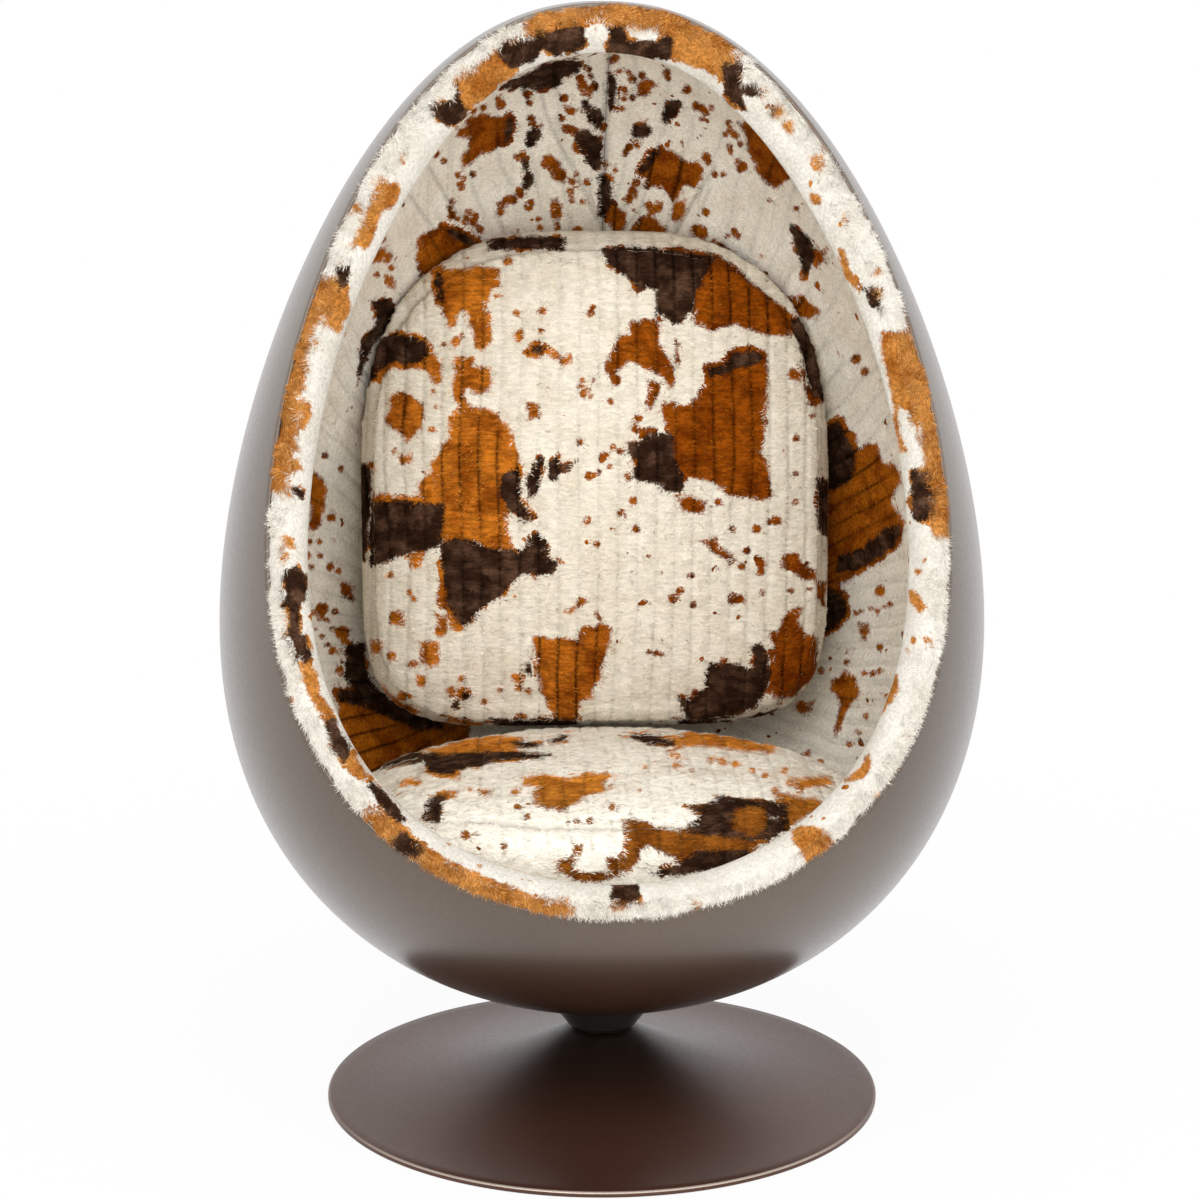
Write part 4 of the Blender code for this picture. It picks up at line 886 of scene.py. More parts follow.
def rib_phase(points, group):
    """Which rib a point of the fur is on, and how far across it."""
    if group == "back":
        return (points[:, 0] + 0.006 * noise(points, 0.14, 51)
                + 0.0016 * noise(points, 0.035, 53)) / 0.0225 + 40
    if group == "seat":
        return (points[:, 0] + 0.006 * noise(points, 0.11, 41)
                + 0.0016 * noise(points, 0.035, 43)) / 0.0235 + 40
    if group == "lining":
        away = points - hub_point + 0.10 * chord
        beta = np.arctan2(away @ chord, away[:, 0])
        beta = np.where(beta < -math.pi / 2, beta + 2 * math.pi, beta)
        return (beta * RIBS_AROUND / (2 * math.pi) + 0.45 * noise(points, 0.13, 21)
                + 0.16 * noise(points, 0.045, 23) + 60)
    return 1.5 + 0.42 * noise(points, 0.017, 31)


def rib_crest(points, group):
    """0 in the grooves between a fur piece's ribs and 1 on their crests."""
    return ridge(rib_phase(points, group))


HOOD_SEAM_X = 0.0115
CREASES = (
    (541, 89, 544, 109, 554, 132, 562, 149, 572, 166, 586, 195, 596, 219),
    (496, 212, 504, 232), (430, 169, 447, 199, 463, 219), (556, 199, 559, 232),
    (642, 185, 615, 215, 610, 228), (715, 166, 695, 199, 675, 228), (409, 195, 436, 232))


def hood_shift(points):
    """The hood's seam runs a little to one side of the middle."""
    return HOOD_SEAM_X * bell(points[:, 0], 0.08) * smooth(points[:, 2], 0.75, 0.92)


def creases(points):
    """Loose folds in the hood's lining, read from the photograph."""
    across, down = seen_at(points)
    fold = np.zeros(len(points))
    for line in CREASES:
        corners = np.array(line, float).reshape(-1, 2)
        for start, end in zip(corners[:-1], corners[1:]):
            fold = np.maximum(fold, bell(segment_distance(across, down, start, end), 2.2))
    return fold * (points[:, 1] > -0.1)


def seams(points, group):
    """1 along a fur piece's sewn seams, in the hood's creases and where the lining runs in
    under the trim, 0 elsewhere. The material paints shade along them.
    """
    if group == "back":
        return back_seam(points)[0]
    if group == "seat":
        return 0.7 * seat_seam(points)
    if group == "lining":
        behind = points[:, 1] - cut_y(points[:, 2])
        middle = bell(points[:, 0] - HOOD_SEAM_X, 0.004) * smooth(points[:, 2], 0.9, 0.96)
        fold = np.maximum(0.5 * (1 - smooth(behind, 0.006, 0.011)), 0.8 * creases(points))
        return np.maximum(fold, middle)
    return np.zeros(len(points))


def set_fur_values(mesh, group, root, fields, chance, tips):
    """Gives a mesh the values that its fur's material reads. Each root has one point per tip."""
    for name, values in (("brown", fields[0]), ("dark", fields[1]), ("chance", chance),
                         ("phase", rib_phase(root, group)), ("seam", seams(root, group))):
        set_floats(mesh, name, np.repeat(values, len(tips)))
    set_floats(mesh, "tip", np.tile(tips, len(root)))
    set_vectors(mesh, "root", np.repeat(root, len(tips), axis=0))


def carry_patches(obj, group):
    """Gives a fur surface the values of the pile that lies on it."""
    points = coordinates(obj.data)
    fields = patch_fields(points, normals(obj.data), group)
    # Its tip value of 0.15 makes the material paint this surface a little darker: painted shade
    # under the pile.
    set_fur_values(obj.data, group, points, fields, np.full(len(points), 0.45), [0.15])


# A blade of pile has five points: two at its root, two at its middle and one at its tip
STRAND_SHARES = (0.0, 0.55, 1.0)
STRAND_TIPS = (0.0, 0.0, 0.55, 0.55, 1.0)
STRAND_FACES = np.array([(0, 1, 3), (0, 3, 2), (2, 3, 4)])
STRAND_PLACES = np.array([(0.1, 0.1), (0.9, 0.1), (0.25, 0.5), (0.75, 0.5), (0.5, 0.9)])


def tufts(points, size, seed):
    """A vector per point that neighbours share, so that pile lies in tufts."""
    return np.stack([noise(points, size, seed + i) for i in range(3)], axis=1)


def pile(name, base, group, count, length, width, lift, comb, surface, keep=None, seed=1,
         clumps=0.6, curl=0.22):
    """Tapered blades of pile that lie over a fur surface. comb gives each its direction."""
    rng = np.random.default_rng(seed)
    mesh = base.data
    mesh.calc_loop_triangles()
    corners = np.empty(len(mesh.loop_triangles) * 3, np.int32)
    mesh.loop_triangles.foreach_get("vertices", corners)
    corners = corners.reshape(-1, 3)
    points, outward = coordinates(mesh), normals(mesh)
    first, second, third = (points[corners[:, i]] for i in range(3))
    area = np.linalg.norm(np.cross(second - first, third - first), axis=1)
    if keep is not None:
        area = area * keep((first + second + third) / 3, outward[corners[:, 0]])
    chosen = rng.choice(len(area), count, p=area / area.sum())
    a, b = rng.random(count), rng.random(count)
    a, b = np.where(a + b > 1, 1 - a, a), np.where(a + b > 1, 1 - b, b)
    share = np.stack([1 - a - b, a, b], axis=1)
    root = np.einsum("nk,nkd->nd", share, points[corners[chosen]])
    up = np.einsum("nk,nkd->nd", share, outward[corners[chosen]])
    up = up / np.linalg.norm(up, axis=1)[:, None]
    lay = comb(root, up, rng)
    lay = lay - np.sum(lay * up, axis=1)[:, None] * up
    lay = lay / np.maximum(np.linalg.norm(lay, axis=1), 1e-9)[:, None]
    side = np.cross(lay, up)
    crest = rib_crest(root, group) * (1 - 0.6 * seams(root, group))
    long = length * rng.uniform(0.6, 1.15, count) * (0.4 + 0.6 * smooth(crest, 0.2, 0.9))
    high = lift * rng.uniform(0.3, 1.2, count)
    bend = rng.normal(0.0, curl, count)
    blade = []
    for step in STRAND_SHARES:
        away = step * long
        middle = (root + lay * (away * (1 - 0.3 * high * step))[:, None]
                  + up * (away * high * (1 - 0.45 * step) - 0.0008)[:, None]
                  + side * (away * bend * step)[:, None])
        half = (1 - step) ** 0.7 * width / 2
        if step < 1:
            blade += [middle - side * half, middle + side * half]
        else:
            blade.append(middle)
    blade = np.stack(blade, axis=1)
    size = len(STRAND_TIPS)
    faces = (np.arange(count)[:, None, None] * size + STRAND_FACES[None]).reshape(-1, 3)
    made = add_mesh(name, blade.reshape(-1, 3), faces, surface, "seat")
    jitter = lay * rng.normal(0.0, 0.0018, count)[:, None]
    fields = patch_fields(root + jitter, up, group)
    set_fur_values(made.data, group, root, fields, rng.random(count), STRAND_TIPS)
    soft = up + 0.25 * rng.normal(size=(count, 3)) + clumps * tufts(root, 0.008, 71)
    soft = soft / np.linalg.norm(soft, axis=1)[:, None]
    made.data.normals_split_custom_set_from_vertices(np.repeat(soft, size, axis=0))
    across = math.ceil(math.sqrt(count))
    cell = np.stack([np.arange(count) % across, np.arange(count) // across], axis=1)
    places = (cell[:, None, :] + STRAND_PLACES[None]) / across
    layer = made.data.uv_layers.new(name="OFBake")
    layer.data.foreach_set("uv", places.reshape(-1, 2)[faces.ravel()].astype(np.float32).ravel())
    return made


# Shell

def column_angles(count, start=0.0, sweep=2 * math.pi, closed=True):
    """Evenly spaced angles, without the last one where they close into a ring."""
    return start + sweep * np.arange(count) / (count if closed else count - 1)


def make_shell(surface):
    """One moulded shell with a rounded front edge, flat where it sits on its mount."""
    columns = 288
    beta = column_angles(columns)
    section = [(0.0, 0.0016), (0.0004, 0.0008), (0.0012, 0.0002), (0.0030, 0.0),
               (0.0048, 0.0002), (0.0056, 0.0008), (SHELL_WALL, 0.0016)]
    rim = [at_depth(hits(cut_alpha(beta, behind), beta), depth) for depth, behind in section]
    start = cut_alpha(beta, 0.0016)

    def rows(count, depth):
        shares = (np.arange(1, count) / count)[:, None]
        alpha = start + (math.pi - start) * shares
        return list(at_depth(hits(alpha, np.broadcast_to(beta, alpha.shape)), depth))

    outer = rows(150, 0.0)
    inner = rows(40, SHELL_WALL)
    loops = np.array(outer[::-1] + rim + inner)
    points = loops.reshape(-1, 3)
    points[:, 2] = np.where(np.arange(len(points)) < len(outer) * columns,
                            np.maximum(points[:, 2], SHELL_SEAT), points[:, 2])
    poles = at_depth(hits(np.array([math.pi, math.pi]), np.array([0.0, 0.0])),
                     np.array([0.0, SHELL_WALL]))
    faces = grid_faces(len(loops), columns, True)
    last = (len(loops) - 1) * columns
    turn = np.arange(columns)
    following = (turn + 1) % columns
    caps = np.concatenate([
        np.stack([np.full(columns, len(points)), following, turn], axis=1),
        np.stack([np.full(columns, len(points) + 1), last + turn, last + following], axis=1)])
    made = add_mesh("egg_shell_lacquered", np.vstack([points, poles]), faces, surface,
                    None)
    face_outwards(made.data, caps)
    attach(made, "seat")
    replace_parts(made, "egg_shell")


# Base

BASE_RADIUS = 0.320
NECK_TOP = 0.0801
NECK_RADIUS = 0.0365
EDGE_HEIGHT = 0.0068
EDGE_BEVEL = 0.002
COVER_SHEET = 0.003
FLARE_POWER = 2.2
COLLAR_LOW = 0.0812
COLLAR_HIGH = 0.1282
COLLAR_RADIUS = 0.0388
COLLAR_FLARE = 0.035
COLLAR_WALL = 0.003


def make_base(surface, collar):
    """Spun trumpet cover and the dark flared collar over the swivel."""
    start = BASE_RADIUS - EDGE_BEVEL
    rise = NECK_TOP - EDGE_HEIGHT
    outside = [(BASE_RADIUS - 0.0006, 0.0010), (BASE_RADIUS, 0.0016),
               (BASE_RADIUS, EDGE_HEIGHT - EDGE_BEVEL),
               (BASE_RADIUS - 0.0005, EDGE_HEIGHT - 0.0008)]
    inside = []
    steps = 64
    for i in range(steps + 1):
        share = (i / steps) ** 0.75
        radius = start + (NECK_RADIUS - start) * share
        height = EDGE_HEIGHT + rise * share ** FLARE_POWER
        outside.append((radius, height))
        slope = FLARE_POWER * rise / (start - NECK_RADIUS) * share ** (FLARE_POWER - 1)
        lean = math.hypot(1.0, slope)
        inside.append((radius - COVER_SHEET * slope / lean, height - COVER_SHEET / lean))
    outside[-1:] = [(NECK_RADIUS, NECK_TOP - 0.001), (NECK_RADIUS - 0.0008, NECK_TOP)]
    inside[-1] = (NECK_RADIUS - COVER_SHEET, NECK_TOP)
    inside[0] = (BASE_RADIUS - COVER_SHEET, EDGE_HEIGHT - COVER_SHEET)
    outline = outside + inside[::-1] + [(BASE_RADIUS - COVER_SHEET, 0.0010)]
    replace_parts(lathe("base_cover_lacquered", outline, surface, "base", 256),
                "base_cover")
    inner, outer = [], []
    for share in np.linspace(0.0, 1.0, 25):
        radius = COLLAR_RADIUS + COLLAR_FLARE * share
        level = COLLAR_LOW + (COLLAR_HIGH - COLLAR_LOW) * share
        outer.append((radius, level))
        inner.append((radius - COLLAR_WALL, level))
    outer[0] = (COLLAR_RADIUS - 0.0006, COLLAR_LOW + 0.0006)
    outer.insert(1, (COLLAR_RADIUS + 0.0002, COLLAR_LOW + 0.0020))
    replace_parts(lathe("swivel_collar_turned", outer + inner[::-1], collar, "seat",
                      160), "swivel_collar")


# Fur pieces fixed to the shell

RIBS_AROUND = 92
LINING_FLOOR = DECK_TOP + 0.0003


def lining_depth(points, share):
    """Depth of the lining's pile: ribs that fan out from the back, with soft wrinkles."""
    flat = points.reshape(-1, 3)
    crest = rib_crest(flat, "lining").reshape(points.shape[:-1])
    fade = smooth(share, 1.0, 0.55)
    turned = rib_phase(flat, "lining").reshape(points.shape[:-1])
    pleat = ridge(turned / 3.7 + 0.5 * noise(flat, 0.17, 24).reshape(points.shape[:-1]))
    some = smooth(noise(flat, 0.15, 25).reshape(points.shape[:-1]), -0.3, 0.3)
    ribs = (0.0036 * (crest - 0.7) + 0.0040 * some * (pleat - 0.85)) * fade
    ribs = ribs - 0.0042 * creases(flat).reshape(points.shape[:-1])
    fine = 0.0007 * noise(flat, 0.011, 22).reshape(points.shape[:-1])
    return FUR_DEPTH - 0.0005 + ribs + fine


def make_lining(surfaces):
    """Two halves of fur lining that meet in a seam down the middle."""
    made = []
    columns, rows = 560, 168
    for name, start in (("left", math.pi / 2), ("right", -math.pi / 2)):
        beta = column_angles(columns, start, math.pi, closed=False)
        gap = 0.0004 * np.where(np.isin(np.arange(columns), (0, columns - 1)), 1.0, 0.0)
        behind = cut_alpha(beta, 0.0035)
        share = ((np.arange(rows) / rows) ** 1.15)[:, None] * np.ones(columns)
        alpha = behind + (math.pi - behind) * share
        turned = np.broadcast_to(beta, alpha.shape)
        points = hits(alpha, turned)
        depth = lining_depth(points, share)
        seam = np.minimum(np.arange(columns), columns - 1 - np.arange(columns))
        depth = depth - 0.004 * np.exp(-(seam / 2.4) ** 2)
        depth = depth - 0.0045 * np.exp(-(np.arange(rows) / 1.6) ** 2)[:, None]
        points = at_depth(points, depth)
        away = -1.0 if name == "left" else 1.0
        points[..., 0] = away * np.maximum(away * points[..., 0], gap)
        flat = points.reshape(-1, 3)
        flat[:, 0] += hood_shift(flat)
        faces = grid_faces(rows, columns, False)[:, ::-1]
        low = flat[:, 2] < LINING_FLOOR
        faces = faces[~np.all(low[faces], axis=1)]
        flat[low, 2] = LINING_FLOOR
        used = np.unique(faces)
        renumber = np.zeros(len(flat), int)
        renumber[used] = np.arange(len(used))
        piece = add_mesh(f"fur_lining_{name}_pile", flat[used], renumber[faces],
                         surfaces["lining"], "seat")
        toward = np.sum(normals(piece.data) * (hub_point - coordinates(piece.data)), axis=1)
        if toward.mean() < 0:
            piece.data.flip_normals()
        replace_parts(piece, f"fur_lining_{name}", "shell_padding")
        carry_patches(piece, "lining")
        made.append(piece)
    return made


def make_trim(surfaces):
    """Tufted fur roll round the front edge."""
    columns = 1000
    beta = column_angles(columns)
    low = SHELL_WALL + 0.0006
    outer = 0.0014
    inner = FUR_DEPTH + 0.0004 + 0.0055 * smooth(np.sin(beta), 0.35, 0.95)
    section = [(low, 0.0205), (low, 0.012), (low, 0.003), (low, -0.0008), (0.0030, -0.0012)]
    for share in np.linspace(0.03, 0.97, 25):
        section.append((outer + (inner - outer) * share,
                        -TRIM_PROUD * math.sin(math.pi * share) ** 0.6))
    section += [(inner - 0.0006, 0.0022), (inner - 0.0030, 0.0042), (inner - 0.0060, 0.0060),
                (inner - 0.0090, 0.0205)]
    loops = np.array([at_depth(hits(cut_alpha(beta, behind), beta), depth)
                      for depth, behind in section])
    faces = grid_faces(len(section) + 1, columns, True) % (len(section) * columns)
    piece = add_mesh("rim_trim_roll", loops.reshape(-1, 3), faces, surfaces["trim"], "seat")
    face_outwards(piece.data)
    points, outward = coordinates(piece.data), normals(piece.data)
    front = smooth(cut_y(points[:, 2]) - points[:, 1], -0.004, 0.004)
    lumps = 0.0030 * noise(points, 0.017, 31) + 0.0014 * noise(points, 0.008, 32)
    spare = np.sum(outward * egg_normals(points), axis=1)
    lumps = lumps * (1 - 0.8 * smooth(spare, 0.3, 0.7))
    points = points + outward * (front * lumps)[:, None]
    set_coordinates(piece.data, points)
    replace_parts(piece, "rim_trim")
    carry_patches(piece, "trim")
    return piece


# Cushions

class Pad:
    """A crowned cushion form in its own plane: across, along and through. tuck and panel are
    the shares of its width that the rear and the front face take, and bulge is how far its
    band stands out."""

    def __init__(self, half_width, ahead, behind, square_ahead, square_behind,
                 half_depth, crown_front, crown_rear, tuck, panel, bulge):
        self.half_width = half_width
        self.reach = (ahead, behind)
        self.square = (square_ahead, square_behind)
        self.half_depth = half_depth
        self.crown = (crown_front, crown_rear)
        self.tuck = tuck
        self.panel = panel
        self.bulge = bulge

    def outline(self, turn, inset):
        """A point of the rounded outline, as far in as inset."""
        side = 0 if math.sin(turn) >= 0 else 1
        power = 2 / self.square[side]
        across = (self.half_width - inset) * math.copysign(abs(math.cos(turn)) ** power,
                                                           math.cos(turn))
        along = (self.reach[side] - inset) * math.copysign(abs(math.sin(turn)) ** power,
                                                           math.sin(turn))
        return across, along

    def face(self, share, front):
        """How far the crowned face stands off the middle, at a share of its width."""
        return self.half_depth + self.crown[0 if front else 1] * (1 - share ** 2)

    def rings(self, inset):
        """Rings of (scale, through) from the front's middle to the rear's."""
        shares = (0.12, 0.24, 0.36, 0.48, 0.60, 0.70, 0.80, 0.88, PAD_FACE)
        made = [(share * self.panel, self.face(share, True) - inset) for share in shares]
        flank = self.half_depth - inset - PAD_EDGE
        top = made[-1][1]
        made.append((0.975 * self.panel, top - 0.35 * (top - flank)))
        made.append((self.panel, flank))
        made.append(((1 + self.tuck) / 2 + self.bulge / self.half_width, 0.0))
        made.append((self.tuck, -flank))
        made += [(share * self.tuck, inset - self.face(share, False))
                 for share in reversed(shares)]
        return made


seat_pad = Pad(SEAT_HALF_WIDTH, SEAT_TO_REAR, SEAT_TO_FRONT, SEAT_ROUND_REAR,
               SEAT_ROUND_FRONT, SEAT_HALF_DEPTH, SEAT_CROWN, 0.0, 0.94, 1.0, 0.006)
back_pad = Pad(BACK_HALF_WIDTH, BACK_TOP - BACK_MIDDLE_Z, BACK_MIDDLE_Z - BACK_BOTTOM,
               3.0, 5.3, 0.055, 0.028, 0.030, 1.0, 0.965, 0.009)


def keep_in_bowl(points, clearance, floor):
    """Keeps points clear of the lining around them and of what they lie on."""
    room = layer_radius(points[:, 2], FUR_DEPTH) - clearance
    reach = np.hypot(points[:, 0], points[:, 1])
    share = np.where(reach > room, room / np.maximum(reach, 1e-6), 1.0)
    points[:, :2] *= share[:, None]
    points[:, 2] = np.maximum(points[:, 2], floor)
    return points


def seat_top(x, y):
    """Height of the seat cushion's upper face."""
    along = y - SEAT_MIDDLE_Y
    reach = np.where(along >= 0, SEAT_TO_REAR, SEAT_TO_FRONT)
    power = np.where(along >= 0, SEAT_ROUND_REAR, SEAT_ROUND_FRONT)
    gauge = (np.abs(x / SEAT_HALF_WIDTH) ** power
             + np.abs(along / reach) ** power) ** (1 / power)
    crown = SEAT_HALF_DEPTH + SEAT_CROWN * (1 - np.minimum(gauge, PAD_FACE) ** 2)
    fall = np.clip((gauge - PAD_FACE) / (1 - PAD_FACE), 0.0, 1.0)
    return SEAT_MIDDLE_Z + crown - fall * (PAD_EDGE + crown - SEAT_HALF_DEPTH)


def place_seat(points):
    """Carries the seat pad's form to its place in the chair."""
    made = points + np.array([0.0, SEAT_MIDDLE_Y, SEAT_MIDDLE_Z])
    return keep_in_bowl(made, 0.006, SEAT_UNDER)


def place_back(points):
    """Carries the back pad's form to its place in the chair."""
    x, along, through = points.T
    z = along + BACK_MIDDLE_Z
    y = BACK_CENTRE_Y + BACK_LEAN * along / (BACK_TOP - BACK_MIDDLE_Z) - through
    return rest_back(np.stack([x, y, z], axis=1))


def rest_back(points):
    """Keeps the back cushion ahead of the lining and above the seat cushion."""
    room = layer_radius(points[:, 2], FUR_DEPTH) - 0.004
    limit = np.sqrt(np.maximum(room ** 2 - points[:, 0] ** 2, 0.0))
    points[:, 1] = np.minimum(points[:, 1], limit)
    points[:, 2] = np.maximum(points[:, 2], seat_top(points[:, 0], points[:, 1]) + 0.001)
    return points


def evaluated(obj):
    """The object's mesh with its modifiers applied."""
    graph = bpy.context.evaluated_depsgraph_get()
    graph.update()
    return bpy.data.meshes.new_from_object(obj.evaluated_get(graph))


PAD_VOXEL = 0.0062
SWELL_LIMIT = 0.007
SWELL_FRAMES = 20


def inflate(obj, settle):
    """Remeshes a pad, swells it as cloth under pressure, and gives it one subdivision."""
    remesh = obj.modifiers.new("even", "REMESH")
    remesh.mode = "VOXEL"
    remesh.voxel_size = PAD_VOXEL
    obj.data = evaluated(obj)
    obj.modifiers.clear()
    start = coordinates(obj.data)
    cloth = obj.modifiers.new("swell", "CLOTH")
    cloth.settings.use_pressure = True
    cloth.settings.uniform_pressure_force = 4.0
    cloth.settings.effector_weights.gravity = 0.0
    cloth.settings.quality = 4
    cloth.settings.tension_stiffness = 18.0
    cloth.settings.compression_stiffness = 18.0
    cloth.settings.bending_stiffness = 0.6
    for number in range(1, SWELL_FRAMES + 1):
        scene.frame_set(number)
    swollen = coordinates(evaluated(obj))
    scene.frame_set(1)
    obj.modifiers.clear()
    move = swollen - start
    outward = normals(obj.data)
    along = np.sum(move * outward, axis=1)
    move += outward * (np.maximum(along, -0.0005) - along)[:, None]
    size = np.linalg.norm(move, axis=1)
    move *= np.minimum(1.0, SWELL_LIMIT / np.maximum(size, 1e-9))[:, None]
    set_coordinates(obj.data, settle(start + move))
    smoother = obj.modifiers.new("even_out", "SMOOTH")
    smoother.iterations = 4
    smoother.factor = 0.5
    divide = obj.modifiers.new("fine", "SUBSURF")
    divide.levels = 1
    obj.data = evaluated(obj)
    obj.modifiers.clear()
    obj.data.shade_smooth()


def cushion(name, pad, place, settle, surface, inset):
    """A cushion's cover: the pad's form put in its place, inflated and given its fur."""
    rings = pad.rings(inset)
    columns = 128
    points = []
    for scale, through in rings:
        for i in range(columns):
            across, along = pad.outline(2 * math.pi * i / columns, inset)
            points.append((across * scale, along * scale, through))
    points.append((0.0, 0.0, pad.face(0.0, True) - inset))
    points.append((0.0, 0.0, inset - pad.face(0.0, False)))
    points = place(np.array(points))
    mesh = bpy.data.meshes.new(name)
    mesh.from_pydata(points.tolist(), [], grid_faces(len(rings), columns, True).tolist())
    front, rear = len(points) - 2, len(points) - 1
    last = (len(rings) - 1) * columns
    caps = []
    for i in range(columns):
        j = (i + 1) % columns
        caps += [(front, j, i), (rear, last + i, last + j)]
    face_outwards(mesh, caps)
    made = bpy.data.objects.new(name, mesh)
    scene.collection.objects.link(made)
    inflate(made, settle)
    made.data.materials.clear()
    made.data.materials.append(surface)
    return made


def make_cushions(surfaces):
    """Seat and back cushion, with the ribs of their fur."""
    seat = cushion("seat_cushion_fur", seat_pad, place_seat,
                   lambda p: keep_in_bowl(p, 0.004, SEAT_UNDER), surfaces["seat"], 0.003)
    points, outward = coordinates(seat.data), normals(seat.data)
    upper = smooth(outward[:, 2], -0.2, 0.5)
    move = 0.0024 * (rib_crest(points, "seat") - 0.7) + 0.0009 * noise(points, 0.012, 42)
    move = move - 0.0035 * seat_seam(points)
    points = points + outward * (upper * move)[:, None]
    set_coordinates(seat.data, keep_in_bowl(points, 0.003, SEAT_UNDER))
    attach(seat, "seat")
    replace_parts(seat, "seat_cushion_cover", "seat_cushion_foam")
    carry_patches(seat, "seat")

    back = cushion("back_cushion_fur", back_pad, place_back, rest_back, surfaces["back"], 0.002)
    points, outward = coordinates(back.data), normals(back.data)
    front = smooth(-outward[:, 1], 0.1, 0.6)
    move = 0.0040 * (rib_crest(points, "back") - 0.75) + 0.0008 * noise(points, 0.010, 52)
    groove, welt = back_seam(points)
    move = front * move - 0.0040 * groove + 0.0020 * welt
    points = points + outward * move[:, None]
    set_coordinates(back.data, rest_back(points))
    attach(back, "seat")
    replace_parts(back, "back_cushion_cover", "back_cushion_foam")
    carry_patches(back, "back")
    return seat, back


# Directions in which the pile lies

def comb_trim(root, up, rng):
    """Waves along the roll, leaning out on its face and in on its inner edge."""
    outward = root - hub_point
    outward = outward - (outward @ facing)[:, None] * facing
    outward = outward / np.linalg.norm(outward, axis=1)[:, None]
    waves = 1.0 * tufts(root, 0.028, 61) + 0.5 * tufts(root, 0.008, 67)
    waves[:, 2] -= 0.45
    spare = np.sum(up * egg_normals(root), axis=1)[:, None]
    return (outward * (0.65 * smooth(spare, -0.7, -0.2) - 0.35) + waves
            + rng.normal(0.0, 0.16, root.shape))


def comb_sideways(root, side, drop, seed, rng):
    """Tufts that lie across the ribs, to the right or to the left, and down."""
    lay = 0.9 * tufts(root, 0.010, seed)
    lay[:, 0] += np.where(side, 1.0, -1.0)
    lay[:, 2] -= drop
    return lay + rng.normal(0.0, 0.22, root.shape)


def comb_back(root, up, rng):
    return comb_sideways(root, noise(root, 0.022, 65) > 0, 0.45, 62, rng)


def comb_seat(root, up, rng):
    return comb_sideways(root, noise(root, 0.030, 66) > -0.3, 0.3, 63, rng)


def comb_lining(root, up, rng):
    """Tufts that lie across the ribs, round the opening."""
    away = root - hub_point
    ring = np.cross(away, facing)
    ring = ring / np.linalg.norm(ring, axis=1)[:, None]
    return ring + 0.9 * tufts(root, 0.012, 64) + rng.normal(0.0, 0.25, root.shape)


def visible(points, outward):
    """Most of the pile goes where the photograph looks."""
    return 0.25 + smooth(toward_eye(points, outward), -0.35, 0.05)


def lining_keep(points, outward):
    """Little pile behind the cushions, where nothing shows."""
    hidden = (points[:, 1] > 0.16) & (np.abs(points[:, 0]) < 0.25) & (points[:, 2] < 0.9)
    low = (points[:, 2] < 0.33) & (points[:, 1] < 0.1)
    return np.where(hidden | low, 0.08, 1.0)


def trim_keep(points, outward):
    """Pile on the roll's front, and a little way down its inner side."""
    ahead = cut_y(points[:, 2]) - points[:, 1]
    inside = np.sum(outward * egg_normals(points), axis=1) < -0.3
    return np.where(inside, smooth(ahead, -0.009, -0.004), smooth(ahead, -0.001, 0.001))


# Materials on the parts that stay as they are

def dress_frame():
    """Gives every CAD part that shows its material."""
    steel = plain("zinc_steel_brushed", linear(150, 152, 155), linear(178, 180, 182), 90.0,
                  0.34, 1.0)
    race = plain("hardened_steel_ground", linear(186, 188, 190), linear(205, 206, 208),
                 160.0, 0.22, 1.0)
    black = plain("black_steel_rolled", linear(44, 44, 46), linear(60, 59, 58), 60.0, 0.5, 0.8)
    nylon = plain("white_nylon_moulded", linear(216, 212, 200), linear(228, 225, 215), 120.0,
                  0.48)
    rubber = plain("felt_rubber_grain", linear(30, 30, 31), linear(46, 45, 44), 300.0, 0.88)
    wood = plain("birch_plywood_grain", linear(196, 160, 112), linear(222, 192, 146), 24.0,
                 0.62, stretch=(1.0, 9.0, 9.0))
    tape = plain("brown_zip_tape", linear(70, 46, 30), linear(92, 62, 42), 500.0, 0.7)
    wear = {"steel": steel, "race": race, "plate": black, "nylon": nylon, "rubber": rubber,
            "plywood": wood, "zip": tape}
    named = {"floor_pad": "rubber", "base_plate": "plate", "post_tube": "plate",
             "lower_bush": "nylon", "upper_bush": "nylon", "neck_ring": "nylon",
             "ball_cage": "nylon", "lower_race": "race", "upper_race": "race",
             "retaining_clip": "race", "seat_deck": "plywood", "deck_rib_long": "plywood",
             "deck_rib_cross": "plywood", "seat_zip": "zip", "back_zip": "zip"}
    for name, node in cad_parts.items():
        surface = wear[named.get(name, "race" if name.startswith("bearing_ball") else "steel")]
        if node.data.materials:
            for index in range(len(node.data.materials)):
                node.data.materials[index] = surface
        else:
            node.data.materials.append(surface)


# Studio

WHITE = (1.0, 1.0, 1.0, 1.0)
FLOOR_REACH = 12.0
WORLD_LIGHT = 0.81
# name, place, aim, size, watts
LAMPS = (
    ("key", (-1.6, -3.2, 2.9), (0, 0, 0.7), 2.4, 57.0),
    ("fill", (2.4, -2.8, 2.0), (0, 0, 0.7), 2.4, 34.0),
    ("front", (0.0, -4.2, 1.3), (0, 0, 0.75), 2.6, 42.0),
    ("top", (0.0, -1.5, 3.3), (0, -0.1, 0.5), 2.2, 28.0))


def shine(nodes, kind, strength):
    """Plain white light of a given strength."""
    node = nodes.add(kind)
    node.inputs["Color"].default_value = WHITE
    node.inputs["Strength"].default_value = strength
    return node.outputs[0]


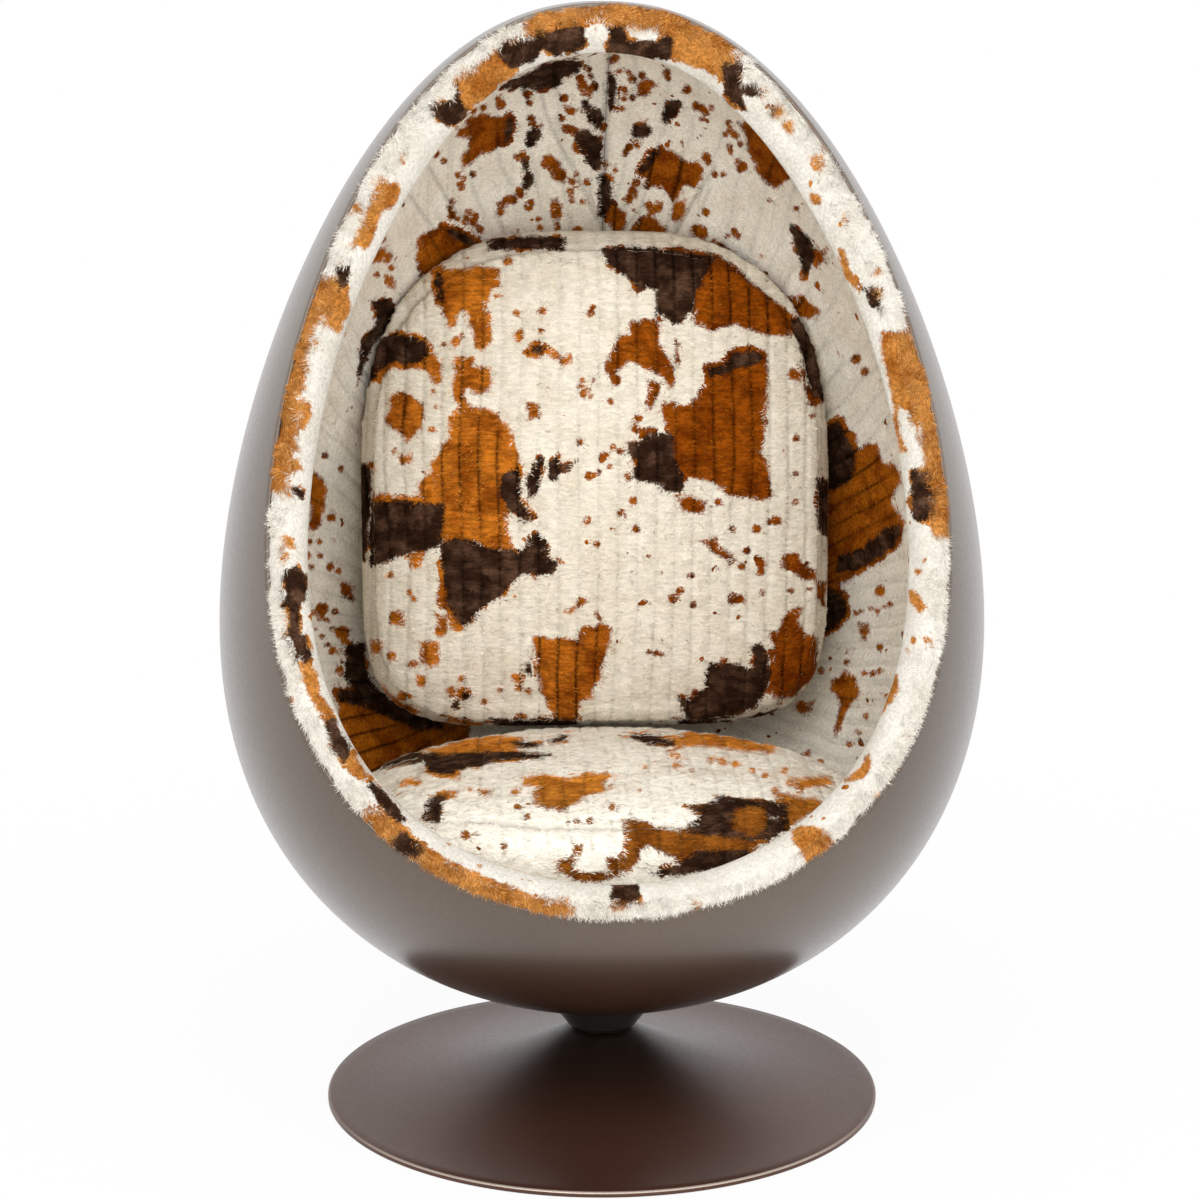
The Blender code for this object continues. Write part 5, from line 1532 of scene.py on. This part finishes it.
def make_floor():
    """Pale floor that keeps the object's shadow and is white away from it."""
    mesh = bpy.data.meshes.new("floor")
    corners = [(x * FLOOR_REACH, y * FLOOR_REACH, 0)
               for x, y in ((-1, -1), (1, -1), (1, 1), (-1, 1))]
    mesh.from_pydata(corners, [], [(0, 1, 2, 3)])
    nodes = new_nodes("studio_floor")
    nodes.set(Base_Color=linear(236, 235, 233), Roughness=0.9, Specular_IOR_Level=0.1)
    reach = nodes.add("ShaderNodeVectorMath", operation="LENGTH")
    nodes.join(nodes.place(), reach.inputs[0])
    seen = nodes.times(nodes.seen_directly(),
                       nodes.spread(reach.outputs["Value"], 0.5, 1.8, 0.93, 1.0))
    nodes.blend(seen, nodes.shader.outputs[0], shine(nodes, "ShaderNodeEmission", 1.0),
                "Material Output")
    mesh.materials.append(nodes.owner)
    floor = bpy.data.objects.new("floor", mesh)
    scene.collection.objects.link(floor)


def make_studio():
    """Floor, white surroundings and four large soft lamps."""
    make_floor()
    world = bpy.data.worlds.new("studio")
    scene.world = world
    nodes = Nodes(world)
    lit = nodes.tree.nodes["Background"]
    lit.inputs["Color"].default_value = WHITE
    lit.inputs["Strength"].default_value = WORLD_LIGHT
    nodes.blend(nodes.seen_directly(), lit.outputs[0],
                shine(nodes, "ShaderNodeBackground", 1.0), "World Output")
    for name, place, aim, size, watts in LAMPS:
        data = bpy.data.lights.new(name, "AREA")
        data.size = size
        data.energy = watts
        lamp = bpy.data.objects.new(name, data)
        scene.collection.objects.link(lamp)
        lamp.location = place
        lamp.rotation_euler = (Vector(aim) - Vector(place)).to_track_quat("-Z", "Y").to_euler()


def main():
    make_camera()
    # The shell's paint carries painted shade on its foot.
    shell_paint = lacquer("shell_lacquer_satin", linear(78, 62, 49), linear(87, 71, 57),
                          linear(132, 117, 102), 0.75, under=linear(66, 36, 20))
    # The base's paint carries painted shade round its middle and a painted highlight on the front
    # of its rim.
    base_paint = lacquer("base_lacquer_satin", linear(70, 40, 29), linear(78, 46, 34),
                         linear(112, 84, 68), 0.10, linear(34, 22, 15), linear(186, 172, 160))
    collar = lacquer("collar_lacquer_dark", linear(38, 33, 30), linear(46, 40, 36),
                     linear(80, 74, 70))
    sideways = (0.3, 0.6, 1.0)
    # One fur for all four pieces, but each gets its own copy of the creams and browns, made lighter
    # or darker for how light falls on it: painted light on the lining in the hollow and on the
    # seat, and painted shade on the trim.
    surfaces = {
        # The lining's browns darken towards the top of the hood: painted shade.
        "lining": fur("fur_lining_pile", linear(252, 245, 231), linear(244, 235, 218),
                      LINING_BROWN, (1.0, 1.0, 1.0), 0.69, (0.14, 0.62),
                      (2, 0.92, 1.12, (1.0, 1.0, 1.0, 1.0), (0.72, 0.64, 0.55, 1.0))),
        "trim": fur("fur_trim_pile", linear(226, 221, 211), linear(214, 208, 196),
                    TRIM_BROWN, (1.0, 1.0, 1.0), 0.71, (0.14, 0.30)),
        "seat": fur("fur_seat_pile", linear(245, 239, 226), linear(236, 228, 213),
                    SEAT_BROWN, sideways, 0.72, (0.03, 0.24),
                    (1, -0.28, -0.12, (0.42, 0.38, 0.33, 1.0), (1.25, 1.32, 1.2, 1.0))),
        "back": fur("fur_back_pile", linear(236, 228, 212), linear(227, 217, 198),
                    BACK_BROWN, sideways, 0.72, (0.10, 0.64),
                    (0, -0.14, 0.10, (1.32, 1.55, 2.1, 1.0), (0.68, 0.60, 0.42, 1.0))),
    }
    dress_frame()
    make_shell(shell_paint)
    make_base(base_paint, collar)
    linings = make_lining(surfaces)
    trim = make_trim(surfaces)
    seat, back = make_cushions(surfaces)
    for seed, (side, piece) in enumerate(zip(("left", "right"), linings), 11):
        pile(f"lining_pile_{side}", piece, "lining", 64000, 0.0082, 0.0014, 0.24, comb_lining,
             surfaces["lining"], lining_keep, seed)
    pile("trim_pile", trim, "trim", 66000, 0.0092, 0.0011, 0.45, comb_trim, surfaces["trim"],
         trim_keep, 13, 0.5, 0.35)
    pile("seat_pile", seat, "seat", 64000, 0.010, 0.0013, 0.36, comb_seat, surfaces["seat"],
         visible, 14)
    pile("back_pile", back, "back", 66000, 0.0085, 0.0013, 0.32, comb_back, surfaces["back"],
         visible, 15)
    make_studio()


main()
